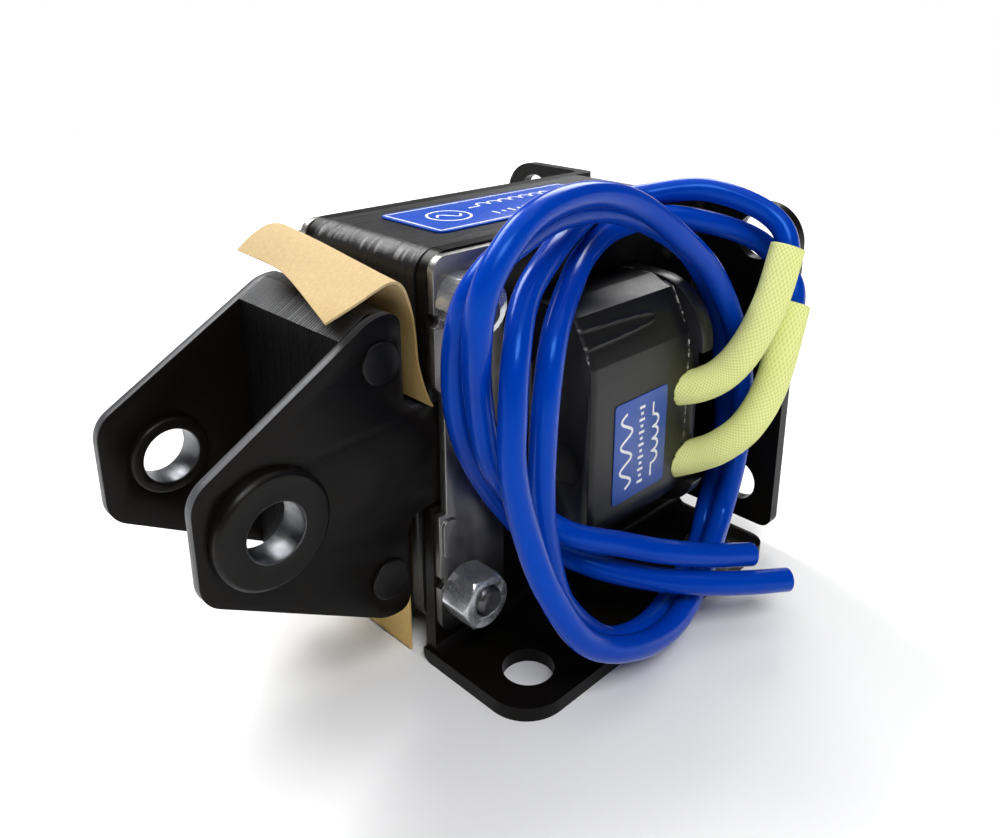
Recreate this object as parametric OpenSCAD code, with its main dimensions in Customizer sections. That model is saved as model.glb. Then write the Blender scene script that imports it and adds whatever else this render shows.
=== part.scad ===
// Open-frame alternating-current pull solenoid with a laminated T plunger.
// Millimetres. X runs along the plunger (plunger towards -X), Y across the stack, Z up.
// The origin is the centre of the foot-hole pattern on the underside of the feet.

/* [Core] */
// length of the laminated core along the plunger
core_len = 57; // [52:0.5:64]
// height of the laminated core
core_h = 53; // [49:0.5:60]
// thickness of the core stack across the laminations
stack_t = 22; // [18:0.5:26]
// height of the core's underside above the mounting plane
core_lift = 5; // [3.5:0.5:7]
// width of the two pole limbs at the plunger end
pole_w = 16.5; // [14:0.5:18]
// width of the back limb
back_w = 15.5; // [14:0.5:18]
// height of the coil window
window_h = 36.4; // [34:0.2:38]
// length of the centre pole inside the coil
stub_len = 3.5; // [2:0.5:5]
// radius of the core's outer corners
core_corner = 3.5; // [2:0.5:4]

/* [Brackets] */
// thickness of the bracket sheet
sheet_t = 2; // [1.6:0.1:2.4]
// hole spacing across the feet and across the rear flanges
hole_y = 48; // [44:0.5:54]
// diameter of the mounting holes
hole_d = 7; // [5:0.5:8]
// distance from the pole face to the first foot holes
foot_hole_in = 7; // [6:0.5:10]
// distance from the second foot holes to the rear of the core
foot_hole_out = 8; // [6:0.5:10]
// distance of the flange holes from the core's top and underside
flange_hole_edge = 5.5; // [5:0.5:10]
// sheet outside the holes of the feet and flanges
foot_edge = 7; // [5:0.5:10]
// large corner radius on feet and flanges
flange_corner = 6; // [3:0.5:7]
// small corner radius on feet
foot_corner = 3; // [2:0.5:5]
// inner radius of the sheet bends
bend_r = 1.5; // [1:0.1:2]
// height of the rear flange's lower edge
flange_low = 3.8; // [3.5:0.1:6]

/* [Guide plates] */
// thickness of a guide plate
guide_t = 1.2; // [1:0.1:2.5]
// width of a guide plate
guide_w = 11.5; // [10:0.5:13]
// height of the raised pad on a guide plate
pad_h = 0.5; // [0.3:0.1:1]
// distance of the clamp bolts from the core's top and underside
bolt_edge = 6.1; // [5.5:0.1:8]
// distance of the clamp bolts from the pole face
bolt_in = 4.2; // [4:0.1:6]
// distance of the core rivets from the rear of the core
rivet_in = 6; // [5:0.5:8]

/* [Clamp hardware] */
// shank diameter of the clamp bolts
bolt_d = 4; // [3.5:0.5:5]
// width across flats of the nuts and bolt heads
nut_af = 7; // [6.5:0.1:8.5]
// height of a nut
nut_h = 5; // [3:0.1:6]
// height of a bolt head
head_h = 3.5; // [2.5:0.1:4]
// shank diameter of the core rivets
core_rivet_d = 5; // [4:0.5:6]

/* [Plunger] */
// thickness of a cheek plate
cheek_t = 1.5; // [1:0.1:2]
// height of the tongue
tongue_h = 14; // [12:0.5:15.5]
// half height of the T bar
bar_top = 20.3; // [18:0.1:22]
// flat length along the top of the T bar
bar_flat = 3.8; // [3:0.1:5]
// thickness of the T bar along the plunger
bar_len = 7.6; // [6.8:0.2:9]
// half height of the cheeks at the pin end
nose_half = 6.3; // [5.5:0.1:8]
// distance of the pin from the shoulders
pin_from_shoulder = 19; // [18:0.5:24]
// distance from the pin to the end of the cheeks
pin_to_nose = 8.2; // [7.6:0.1:10]
// diameter of the clevis pin bore
pin_d = 7; // [5:0.1:7.5]
// wall of a bush barrel
bush_wall = 1.5; // [1:0.1:2]
// width of the bush flange beyond its barrel
bush_lip = 2; // [1:0.1:2.4]
// height of the bush flange
bush_flange_h = 2; // [1:0.1:2.5]
// shank diameter of the plunger rivets
rivet_d = 4; // [3:0.5:4.5]
// open gap at the poles in the pose shown
pole_gap = 3.4; // [3:0.1:4.4]

/* [Coil] */
// distance that the coil stands proud of the stack on each side
coil_proud = 14.5; // [13:0.5:17]
// radius of the coil's upper edges
coil_top_r = 7.5; // [6:0.5:10]
// radius of the coil's lower edges
coil_low_r = 6.4; // [5:0.2:9]
// thickness of the film wrap
wrap_t = 0.5; // [0.4:0.1:0.8]
// wall of the bobbin tube
tube_wall = 1.2; // [1:0.1:1.5]
// thickness of the bobbin's front flange, under the film
flange_t = 1.5; // [1:0.1:2]
// thickness of the bobbin's rear flange, which stands beside the film
rear_flange_t = 2.7; // [1.5:0.1:3.5]
// distance that the rear flange stands proud of the film at each side
flange_proud = 2.2; // [1:0.1:3]

/* [Labels and paper] */
// length of the plate on top
plate_len = 36.5; // [30:0.5:40]
// width of the plate on top
plate_w = 13.4; // [11:0.2:15]
// width of the coil label
label_w = 11.6; // [10:0.2:12]
// height of the coil label
label_h = 15; // [12:0.5:16]
// thickness of the packing paper
paper_t = 0.3; // [0.2:0.05:0.35]
// half width of the upper paper
paper_half = 12.2; // [10:0.2:12.4]

/* [Leads] */
// outer diameter of a lead
lead_d = 3.4; // [2.6:0.1:3.4]
// inner diameter of a sleeve
sleeve_bore = 4.2; // [4:0.1:4.6]
// wall of a sleeve
sleeve_wall = 0.4; // [0.3:0.05:0.5]

/* [Clearances] */
// gap between the cheeks and the guide plates
guide_gap = 0.3; // [0.2:0.05:0.5]
// gap each side of the tongue in the core slot
slot_gap = 0.4; // [0.3:0.05:0.6]
// gap each side of the tongue in the bobbin
bore_gap = 0.5; // [0.4:0.05:0.6]
// gap above and below the coil in the window
coil_gap = 0.4; // [0.3:0.05:0.8]
// gap between the coil's front flange and the window's end
coil_end_gap = 0.5; // [0.4:0.1:2.5]
// gap between the coil's rear flange and the window's end
coil_rear_gap = 0.6; // [0.4:0.1:1.5]
// radial gap of a bolt or rivet in its holes
bolt_gap = 0.2; // [0.1:0.05:0.3]
// radial gap of a nut on its thread
thread_gap = 0.05; // [0.02:0.01:0.1]
// gap of the shading rings in their grooves
ring_gap = 0.05; // [0.03:0.01:0.1]
// radial gap between a bush barrel and its cheek
bush_gap = 0.02; // [0.01:0.01:0.05]

/* [Hidden] */
$fn = 64;
cut = 1;
round_cut = 0.6;
hole_x = core_len - foot_hole_in - foot_hole_out;
core_left = -hole_x / 2 - foot_hole_in;
core_right = core_left + core_len;
core_low = core_lift;
core_top = core_low + core_h;
axis_z = core_low + core_h / 2;
win_left = core_left + pole_w;
win_right = core_right - back_w;
window_corner = 1;
slot_half = tongue_h / 2 + slot_gap;
stub_half = tongue_h / 2 + bore_gap;
stub_face = win_right - stub_len;
half_t = stack_t / 2;
web_out = half_t + sheet_t;
guide_out = web_out + guide_t;
foot_over = 0.3;
web_inset = 0.25;
foot_left = core_left - foot_over;
foot_right = core_right - foot_over;
web_left = core_left + web_inset;
flange_low_corner = 2;
flange_back = core_right + sheet_t;
foot_half = hole_y / 2 + foot_edge;
flange_hole_z = core_h / 2 - flange_hole_edge;
bolt_x = core_left + bolt_in;
bolt_dz = core_h / 2 - bolt_edge;
rivet_x = core_right - rivet_in;
guide_inset = 0.45;
guide_trim = 0.3;
guide_left = core_left + guide_inset;
guide_right = guide_left + guide_w;
guide_low = core_low + guide_trim;
guide_top = core_top - guide_trim;
guide_corner = 2;
guide_back_corner = 1.5;
guide_cutback = 1.25;
guide_cutback_over = 0.9;
guide_cutback_half = slot_half + guide_cutback_over;
guide_cutback_slant = 1.5;
nick_d = 1.6;
nick_in = 2.1;
nick_dz = bolt_dz - nick_in;
pad_w = 2.4;
pad_len = 5.5;
pad_out = 3.5;
pad_dz = guide_cutback_half + pad_out;
pad_inset = 0.3;
pad_corner = 1;
pad_root = 0.2;
hex_over = 1.2;
hex_rim = 0.15;
bolt_proud = 0.4;
bolt_tip_h = 0.6;
bolt_tip_in = 1.2;
core_rivet_lip = 1.75;
core_rivet_dome = 1.6;
shoulder = core_left - pole_gap;
tongue_end = stub_face - pole_gap;
cheek_out = web_out - guide_gap;
plunger_half = cheek_out - cheek_t;
pin_x = shoulder - pin_from_shoulder;
nose_x = pin_x - pin_to_nose;
bar_left = shoulder - bar_len;
taper_end = shoulder - bar_flat;
slant = (bar_top - nose_half) / (taper_end - nose_x);
nose_corner = 4;
taper_corner = 6;
shoulder_corner = 1.8;
shoulder_fillet = 2.8;
barrel_d = pin_d + 2 * bush_wall;
bush_flange_d = barrel_d + 2 * bush_lip;
barrel_in = 1;
bush_edge = 0.3;
bush_rim = 0.5;
bar_rivet_down = 5.7;
bar_rivet_in = 3.2;
tail_rivet_in = 8;
bar_rivet_dz = bar_top - bar_rivet_down;
bar_rivet_x = shoulder - bar_rivet_in;
tail_rivet_x = tongue_end - tail_rivet_in;
rivet_head_d = rivet_d + 1.4;
rivet_head_h = 0.5;
rivet_rim_h = 0.2;
coil_mid = (win_left + win_right) / 2;
coil_left = win_left + coil_end_gap;
coil_right = win_right - coil_rear_gap;
film_right = coil_right - rear_flange_t;
coil_half_y = half_t + coil_proud;
coil_half_z = window_h / 2 - coil_gap;
tube_half_y = cheek_out + bore_gap;
tube_half_z = tongue_h / 2 + bore_gap;
tube_end_gap = 0.1;
fold_angle = 58;
flange_top_r = coil_top_r + 1.8;
exit_up = 7.7;
exit_down = 13;
mould_mark_d = 6.4;
mould_mark_deep = 0.4;
mould_mark_down = 4.2;
mould_mark_y = (tube_half_y + tube_wall + coil_half_y) / 2 + 0.5;
label_t = 0.15;
label_corner = 0.6;
label_back = 1.7;
label_down = 3.4;
label_mid_x = coil_mid - label_back;
label_mid_z = axis_z - label_down;
plate_t = 0.3;
plate_in = 8;
plate_corner = 1.5;
plate_left = core_left + plate_in;
sleeve_d = sleeve_bore + 2 * sleeve_wall;
ring_w = 1.4;
ring_deep = 1.2;
ring_h = 9;
ring_in = 2.5;
ring_len = stack_t - 2 * ring_in;
ring_sink = 0.1;
ring_mid = (core_h / 2 + slot_half) / 2 + 1;

// packing paper: back edge, middle and front edge in X and Z, from the pole face at the T bar's top
paper_back = [[-0.6, -12.4], [-0.7, -7], [-0.9, -2], [-1.2, 1.4], [-1.5, 3.8], [-2.8, 5.8], [-5.2, 6.4],
    [-7.8, 5.4], [-10, 3.8]];
paper_mid = [[-0.6, -12.4], [-0.7, -7], [-0.9, -2], [-1.3, 1.4], [-1.8, 3.6], [-2.9, 5], [-4.6, 5.2],
    [-6.8, 4.4], [-8.9, 3]];
paper_front = [[-0.6, -12.4], [-0.7, -7], [-1.1, -2], [-1.9, 1.2], [-2.7, 2.8], [-3.8, 3.4], [-5.4, 3.2],
    [-9.4, 1.8], [-13.2, 0.6]];
paper_mid_y = 3.3;
paper_flare = 2.6;
lower_paper_low = 0.3;
lower_paper_front = 8.4;
lower_paper_back = 10.4;
lower_paper_gap = 0.2;
lower_paper_down = 1;

// lead and sleeve routes, from the middle of the coil's front face at the height of the plunger axis;
// each starts inside the coil and is cut off at its face
upper_sleeve_route = [[7.5, 2, 1.5], [10, -1.5, 2.5], [12.5, -4, 4.5], [15, -6, 8.5], [18.5, -7, 14.5],
    [22, -7, 22]];
lower_sleeve_route = [[8, 2, -10.5], [10.5, -1.5, -9], [12.5, -4.5, -7], [15.5, -7, -3.5],
    [19.5, -8, 2.5], [24.5, -7.5, 13]];
upper_lead_route = concat(upper_sleeve_route, [
    [22, -3, 26.5], [16.5, 4, 29.5], [10, 10.5, 28.5], [3, 11.5, 28.5], [-6, 9, 27], [-15.5, 5, 25],
    [-22.5, 2, 22], [-27, -1, 17], [-29, -2.5, 11], [-29.5, -3, 4.5], [-28.5, -4, -3], [-27, -6.5, -11],
    [-22.5, -9, -19.5], [-14, -10.5, -24], [-4, -9.5, -26], [7, -6.5, -24], [16.5, -3, -21],
    [19.5, -3, -12], [20, -3, -2], [18, -2, 9], [12, -1, 19], [4.5, 0, 25.5], [-3, 1, 30.5],
    [-11.5, 1, 33], [-20.5, 0, 33], [-27, -1, 31], [-31.5, -1, 26], [-32, 0, 19.5], [-29.5, 2.5, 11],
    [-27, 3, 2], [-20.5, 4, -6.5], [-17, -0.5, -10.5], [-9.5, -4, -14], [-4.5, -7, -16],
    [2.5, -10, -18.5], [9.5, -12.5, -20.5]]);
lower_lead_route = concat(lower_sleeve_route, [
    [25.5, -5, 17.5], [24, -1, 21.5], [17.5, 3, 24.5], [10, 7, 26], [2.5, 9.5, 25], [-5, 8, 23],
    [-12.5, 4, 21], [-19.5, 0, 17.5], [-23, -2, 11], [-23.5, -2, 4], [-23.5, -2, -3], [-22.5, -2, -9.5],
    [-20.5, -3, -18], [-14, -4.5, -26], [-7.5, -6, -27.5], [1, -5, -27], [13.5, -1, -26],
    [18.5, 1, -22], [21.5, 1, -14], [22, 1, -6], [21.5, 2, 4], [18, 2, 12.5], [12, 3, 21],
    [3.5, 4, 26.5], [-5, 4.5, 29.5], [-14, 4.5, 30], [-22, 3.5, 28.5], [-28, 3, 26], [-30.5, 4, 21.5],
    [-30, 6, 14], [-28.5, 7, 6.5], [-25, 8, -1], [-20, 8, -9], [-15.5, 6, -15], [-11.5, 0, -18],
    [-6.5, -5, -20], [-0.5, -10, -21.5], [6.5, -14, -23], [12.5, -17, -24]]);
root_room = 5;

// Shared shapes

function unit(v) = v / norm(v);

// the wedge between a corner and its rounding arc; taken away it rounds a corner, added it fills one
module corner_wedge(p, a, b, r, beyond = 0) {
    u = unit(a);
    v = unit(b);
    m = unit(u + v);
    half = acos(u * v) / 2;
    c = p + m * (r / sin(half));
    along_u = p + u * (r / tan(half));
    along_v = p + v * (r / tan(half));
    left_turn = u[0] * v[1] > u[1] * v[0];
    difference() {
        polygon([p - m * beyond, left_turn ? along_u : along_v, c, left_turn ? along_v : along_u]);
        translate(c) circle(r = r);
    }
}

// rectangle by its corners with four rounding radii: low left, low right, high right, high left
module soft_rect(x0, y0, x1, y1, r) {
    difference() {
        translate([x0, y0]) square([x1 - x0, y1 - y0]);
        if (r[0] > 0) corner_wedge([x0, y0], [1, 0], [0, 1], r[0], round_cut);
        if (r[1] > 0) corner_wedge([x1, y0], [-1, 0], [0, 1], r[1], round_cut);
        if (r[2] > 0) corner_wedge([x1, y1], [-1, 0], [0, -1], r[2], round_cut);
        if (r[3] > 0) corner_wedge([x0, y1], [1, 0], [0, -1], r[3], round_cut);
    }
}

// a drawing in X and Z pushed through the part between two Y values
module slab_y(y0, y1) {
    translate([0, y1, 0]) rotate([90, 0, 0]) linear_extrude(y1 - y0) children();
}

// a drawing in Y and Z pushed between two X values
module slab_x(x0, x1) {
    translate([x0, 0, 0]) rotate([90, 0, 90]) linear_extrude(x1 - x0) children();
}

module rod_y(x, z, y0, y1, d) {
    translate([x, y1, z]) rotate([90, 0, 0]) cylinder(d = d, h = y1 - y0);
}

module both_levels(dz) {
    for (s = [-1, 1]) translate([0, 0, axis_z + s * dz]) children();
}

// Core

module window_outline() {
    r = window_corner;
    soft_rect(win_left, axis_z - window_h / 2, win_right, axis_z + window_h / 2, [r, r, r, r]);
}

module core_outline() {
    r = core_corner;
    difference() {
        soft_rect(core_left, core_low, core_right, core_top, [r, r, r, r]);
        window_outline();
        translate([core_left - cut, axis_z - slot_half]) square([pole_w + 2 * cut, 2 * slot_half]);
    }
    translate([stub_face, axis_z - stub_half]) square([stub_len + cut, 2 * stub_half]);
}

module ring_shape(grow) {
    difference() {
        square([ring_len + 2 * grow, ring_h + 2 * grow], center = true);
        square([ring_len - 2 * ring_w - 2 * grow, ring_h - 2 * ring_w - 2 * grow], center = true);
    }
}

module core_half(s) {
    difference() {
        slab_y(-half_t, half_t) intersection() {
            core_outline();
            translate([core_left - cut, s > 0 ? axis_z : axis_z - core_h])
                square([core_len + 2 * cut, core_h]);
        }
        rod_y(bolt_x, axis_z + s * bolt_dz, -half_t - cut, half_t + cut, bolt_d + 2 * bolt_gap);
        rod_y(rivet_x, axis_z + s * bolt_dz, -half_t - cut, half_t + cut, core_rivet_d + 2 * bolt_gap);
        translate([0, 0, axis_z + s * ring_mid])
            slab_x(core_left - cut, core_left + ring_deep) ring_shape(ring_gap);
    }
}

module upper_core() { color("#1c1c1e") core_half(1); }
module lower_core() { color("#1c1c1e") core_half(-1); }

module shading_rings() {
    color("#b8733a") both_levels(ring_mid)
        slab_x(core_left + ring_sink, core_left + ring_deep) ring_shape(0);
}

// Brackets: web against the core, foot below, flange at the rear

module web_outline() {
    difference() {
        soft_rect(web_left, 0, flange_back, core_top, [0, 0, 0, core_corner]);
        window_outline();
        translate([web_left - cut, axis_z - slot_half]) square([pole_w + 2 * cut, 2 * slot_half]);
        translate([foot_right, -cut]) square([core_len, flange_low + cut]);
        for (s = [-1, 1], x = [bolt_x, rivet_x])
            translate([x, axis_z + s * bolt_dz])
                circle(d = (x == bolt_x ? bolt_d : core_rivet_d) + 2 * bolt_gap);
    }
}

module foot_outline() {
    difference() {
        soft_rect(foot_left, -foot_half, foot_right, -half_t, [flange_corner, foot_corner, 0, 0]);
        for (x = [-1, 1]) translate([x * hole_x / 2, -hole_y / 2]) circle(d = hole_d);
    }
}

module flange_outline() {
    difference() {
        soft_rect(-foot_half, flange_low, -half_t, core_top, [flange_low_corner, 0, 0, flange_corner]);
        for (s = [-1, 1]) translate([-hole_y / 2, axis_z + s * flange_hole_z]) circle(d = hole_d);
    }
}

module bracket() {
    difference() {
        union() {
            slab_y(-web_out, -half_t) web_outline();
            linear_extrude(sheet_t) foot_outline();
            slab_x(core_right, flange_back) flange_outline();
            slab_x(web_left, foot_right)
                corner_wedge([-web_out, sheet_t], [-1, 0], [0, 1], bend_r, round_cut);
            translate([0, 0, flange_low]) linear_extrude(core_top - flange_low)
                corner_wedge([core_right, -web_out], [-1, 0], [0, -1], bend_r, round_cut);
        }
        slab_x(foot_left - cut, foot_right + cut)
            corner_wedge([-half_t, 0], [-1, 0], [0, 1], bend_r, round_cut);
        translate([0, 0, -cut]) linear_extrude(core_top + 2 * cut)
            corner_wedge([flange_back, -half_t], [-1, 0], [0, -1], bend_r, round_cut);
    }
}

module front_bracket() { color("#18181a") bracket(); }
module rear_bracket() { color("#18181a") mirror([0, 1, 0]) bracket(); }

// Guide plates that keep the tongue in line and the coil in the window

module guide_outline() {
    half = guide_cutback_half;
    difference() {
        soft_rect(guide_left, guide_low, guide_right, guide_top,
            [guide_corner, guide_back_corner, guide_back_corner, guide_corner]);
        translate([guide_left, axis_z]) polygon([[-cut, -half], [guide_cutback, -half], [guide_cutback, half],
            [0, half + guide_cutback_slant], [-cut, half + guide_cutback_slant]]);
        for (s = [-1, 1]) {
            translate([guide_left, axis_z + s * nick_dz]) circle(d = nick_d);
            translate([bolt_x, axis_z + s * bolt_dz]) circle(d = bolt_d + 2 * bolt_gap);
        }
    }
}

module guide_plate() {
    r = pad_corner;
    slab_y(-guide_out, -web_out) guide_outline();
    slab_y(-guide_out - pad_h, -guide_out + pad_root) translate([guide_left + pad_inset, axis_z - pad_dz])
        soft_rect(0, -pad_len / 2, pad_w, pad_len / 2, [r, r, r, r]);
}

module front_guide_plate() { color("#c9cac8") guide_plate(); }
module rear_guide_plate() { color("#c9cac8") mirror([0, 1, 0]) guide_plate(); }

// Clamp hardware

// hexagon with its two rims turned down by a cone
module hex_block(h, both) {
    wide = nut_af * hex_over;
    rim = h * hex_rim;
    intersection() {
        cylinder(d = nut_af / cos(30), h = h, $fn = 6);
        union() {
            cylinder(d1 = both ? nut_af : wide, d2 = wide, h = rim);
            translate([0, 0, rim]) cylinder(d = wide, h = h - 2 * rim);
            translate([0, 0, h - rim]) cylinder(d1 = wide, d2 = nut_af, h = rim);
        }
    }
}

module clamp_bolts() {
    color("#3a3a3c") both_levels(bolt_dz) translate([bolt_x, 0, 0]) {
        rotate([90, 0, 0]) translate([0, 0, -guide_out]) {
            cylinder(d = bolt_d, h = 2 * guide_out + nut_h + bolt_proud);
            translate([0, 0, 2 * guide_out + nut_h + bolt_proud])
                cylinder(d1 = bolt_d, d2 = bolt_d - bolt_tip_in, h = bolt_tip_h);
            mirror([0, 0, 1]) hex_block(head_h, false);
        }
    }
}

module clamp_nuts() {
    color("#b9bab8") both_levels(bolt_dz) translate([bolt_x, -guide_out, 0]) rotate([90, 0, 0])
        difference() {
            hex_block(nut_h, true);
            translate([0, 0, -cut]) cylinder(d = bolt_d + 2 * thread_gap, h = nut_h + 2 * cut);
        }
}

// domed rivet head standing on z = 0
module rivet_dome(d, h) {
    ball = (d * d / 4 + h * h) / (2 * h);
    intersection() {
        translate([0, 0, h - ball]) sphere(r = ball);
        cylinder(d = d + cut, h = h + cut);
    }
}

module core_rivets() {
    color("#2a2a2c") both_levels(bolt_dz) translate([rivet_x, 0, 0]) rotate([90, 0, 0]) {
        translate([0, 0, -web_out]) cylinder(d = core_rivet_d, h = 2 * web_out);
        for (m = [0, 1]) mirror([0, 0, m]) translate([0, 0, web_out])
            rivet_dome(core_rivet_d + 2 * core_rivet_lip, core_rivet_dome);
    }
}

// Coil

// the coil's outline less a skin; its film is drawn straight over the upper edges and folds at an angle
module coil_outline(skin) {
    y = coil_half_y - skin;
    low = axis_z - coil_half_z + skin;
    top = axis_z + coil_half_z - skin;
    r = coil_top_r - skin;
    difference() {
        soft_rect(-y, low, y, top, [coil_low_r - skin, coil_low_r - skin, 0, 0]);
        for (s = [-1, 1]) polygon([[s * (y + cut), top - r], [s * y, top - r],
            [s * (y - r * (1 - cos(fold_angle))), top - r * (1 - sin(fold_angle))],
            [s * (y - r), top], [s * (y - r), top + cut], [s * (y + cut), top + cut]]);
    }
}

module rear_flange_outline() {
    y = coil_half_y + flange_proud;
    soft_rect(-y, axis_z - coil_half_z, y, axis_z + coil_half_z,
        [coil_low_r, coil_low_r, flange_top_r, flange_top_r]);
}

module tube_hole() {
    translate([-tube_half_y, axis_z - tube_half_z]) square([2 * tube_half_y, 2 * tube_half_z]);
}

module tube_outside() {
    translate([-tube_half_y - tube_wall, axis_z - tube_half_z - tube_wall])
        square([2 * (tube_half_y + tube_wall), 2 * (tube_half_z + tube_wall)]);
}

module coil_bobbin() {
    color("#151516") difference() {
        union() {
            slab_x(win_left + tube_end_gap, win_right - tube_end_gap) tube_outside();
            slab_x(coil_left, coil_left + flange_t) coil_outline(wrap_t);
            slab_x(film_right, coil_right) rear_flange_outline();
        }
        slab_x(win_left - cut, win_right + cut) tube_hole();
        // the front of the rear flange is cut back where the leads come out
        translate([film_right - cut, -coil_half_y - flange_proud - cut, axis_z - exit_down])
            cube([rear_flange_t + 2 * cut, flange_proud + cut, exit_up + exit_down]);
        for (s = [-1, 1]) translate([coil_left - cut, s * mould_mark_y, axis_z - mould_mark_down])
            rotate([0, 90, 0]) cylinder(d = mould_mark_d, h = cut + mould_mark_deep);
    }
}

module coil_winding() {
    color("#9a5a2c") slab_x(coil_left + flange_t, film_right) difference() {
        coil_outline(wrap_t);
        tube_outside();
    }
}

module coil_wrap() {
    color("#101011") slab_x(coil_left, film_right) difference() {
        coil_outline(0);
        coil_outline(wrap_t);
    }
}

module coil_label() {
    r = label_corner;
    color("#1d4aa8") slab_y(-coil_half_y - label_t, -coil_half_y)
        soft_rect(label_mid_x - label_w / 2, label_mid_z - label_h / 2,
            label_mid_x + label_w / 2, label_mid_z + label_h / 2, [r, r, r, r]);
}

module top_plate() {
    r = plate_corner;
    color("#1a3fae") translate([0, 0, core_top]) linear_extrude(plate_t)
        soft_rect(plate_left, -plate_w / 2, plate_left + plate_len, plate_w / 2, [r, r, r, r]);
}

// Plunger

// one corner of the tapered outline in X and Z, s is up or down
function bar_at(x, s) = [x, axis_z + s * (bar_top - (taper_end - x) * slant)];

// the stack's bar is a sharp-edged stamping; only the cheeks, which reach the nose, have round corners
module tapered_outline(left) {
    difference() {
        polygon([bar_at(left, -1), bar_at(taper_end, -1), [shoulder, axis_z - bar_top],
            [shoulder, axis_z + bar_top], bar_at(taper_end, 1), bar_at(left, 1)]);
        for (s = [-1, 1]) {
            corner_wedge([shoulder, axis_z + s * bar_top], [-1, 0], [0, -s], shoulder_corner, round_cut);
            if (left == nose_x) {
                corner_wedge(bar_at(taper_end, s), [-1, -s * slant], [1, 0], taper_corner, round_cut);
                corner_wedge(bar_at(nose_x, s), [1, s * slant], [0, -s], nose_corner, round_cut);
            }
        }
    }
}

module tongue_outline() {
    translate([shoulder - cut, axis_z - tongue_h / 2]) square([tongue_end - shoulder + cut, tongue_h]);
    for (s = [-1, 1])
        corner_wedge([shoulder, axis_z + s * tongue_h / 2], [1, 0], [0, s], shoulder_fillet, round_cut);
}

module rivet_holes() {
    for (s = [-1, 1]) translate([bar_rivet_x, axis_z + s * bar_rivet_dz])
        circle(d = rivet_d + 2 * bolt_gap);
    translate([tail_rivet_x, axis_z]) circle(d = rivet_d + 2 * bolt_gap);
}

module plunger_stack() {
    color("#232325") slab_y(-plunger_half, plunger_half) difference() {
        union() {
            tapered_outline(bar_left);
            tongue_outline();
        }
        rivet_holes();
    }
}

module cheek() {
    slab_y(-cheek_out, -plunger_half) difference() {
        union() {
            tapered_outline(nose_x);
            tongue_outline();
        }
        rivet_holes();
        translate([pin_x, axis_z]) circle(d = barrel_d + 2 * bush_gap);
    }
}

module front_cheek() { color("#19191b") cheek(); }
module rear_cheek() { color("#19191b") mirror([0, 1, 0]) cheek(); }

module plunger_rivets() {
    color("#202022") {
        both_levels(bar_rivet_dz) translate([bar_rivet_x, 0, 0]) rotate([90, 0, 0]) {
            translate([0, 0, -cheek_out]) cylinder(d = rivet_d, h = 2 * cheek_out);
            for (m = [0, 1]) mirror([0, 0, m]) translate([0, 0, cheek_out]) {
                cylinder(d = rivet_head_d, h = rivet_head_h - rivet_rim_h);
                translate([0, 0, rivet_head_h - rivet_rim_h])
                    cylinder(d1 = rivet_head_d, d2 = rivet_head_d - 2 * rivet_rim_h, h = rivet_rim_h);
            }
        }
        rod_y(tail_rivet_x, axis_z, -cheek_out, cheek_out, rivet_d);
    }
}

module bush() {
    translate([pin_x, -cheek_out, axis_z]) rotate([90, 0, 0]) rotate_extrude()
        polygon([[pin_d / 2, -cheek_t - barrel_in], [barrel_d / 2 - bush_edge, -cheek_t - barrel_in],
            [barrel_d / 2, -cheek_t - barrel_in + bush_edge], [barrel_d / 2, 0],
            [bush_flange_d / 2, 0], [bush_flange_d / 2, bush_flange_h - bush_rim],
            [bush_flange_d / 2 - bush_rim, bush_flange_h], [pin_d / 2, bush_flange_h]]);
}

module front_bush() { color("#1e1e20") bush(); }
module rear_bush() { color("#1e1e20") mirror([0, 1, 0]) bush(); }

// Packing paper in the two pole gaps; the upper one folds over the T bar

function bend_normal(l, i) = let (a = l[max(i - 1, 0)], b = l[min(i + 1, len(l) - 1)], d = unit(b - a))
    [-d[1], d[0]];
function paper_point(l, i, y, side) = let (q = l[i] + bend_normal(l, i) * (side * paper_t / 2))
    [core_left + q[0], y, axis_z + bar_top + q[1]];

module upper_paper() {
    n = len(paper_back);
    // six points for each row: three edges on the one face and the same three on the other
    ring = 6;
    last = ring * (n - 1);
    points = [for (i = [0 : n - 1]) let (front_y = -paper_half - (i == 0 ? paper_flare : 0)) each [
        paper_point(paper_front, i, front_y, -1), paper_point(paper_mid, i, paper_mid_y, -1),
        paper_point(paper_back, i, paper_half, -1), paper_point(paper_back, i, paper_half, 1),
        paper_point(paper_mid, i, paper_mid_y, 1), paper_point(paper_front, i, front_y, 1)]];
    color("#d9b673") polyhedron(points, concat(
        [[0, 1, 4], [0, 4, 5], [1, 2, 3], [1, 3, 4]],
        [for (i = [0 : n - 2], k = [0 : ring - 1]) let (a = ring * i + k, b = ring * i + (k + 1) % ring)
            each [[a, a + ring, b + ring], [a, b + ring, b]]],
        [for (f = [[0, 4, 1], [0, 5, 4], [1, 3, 2], [1, 4, 3]]) [last + f[0], last + f[1], last + f[2]]]));
}

module lower_paper() {
    color("#d9b673") slab_x(core_left - lower_paper_gap - paper_t, core_left - lower_paper_gap)
        translate([-lower_paper_front, lower_paper_low]) square([lower_paper_front + lower_paper_back,
            axis_z - slot_half - lower_paper_down - lower_paper_low]);
}

// Leads and sleeves: one tube each, swept along its route

function placed(route) = [for (q = route) [coil_mid + q[0], q[1] - coil_half_y, axis_z + q[2]]];
function heading(l, i) = unit(l[min(i + 1, len(l) - 1)] - l[max(i - 1, 0)]);
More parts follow.
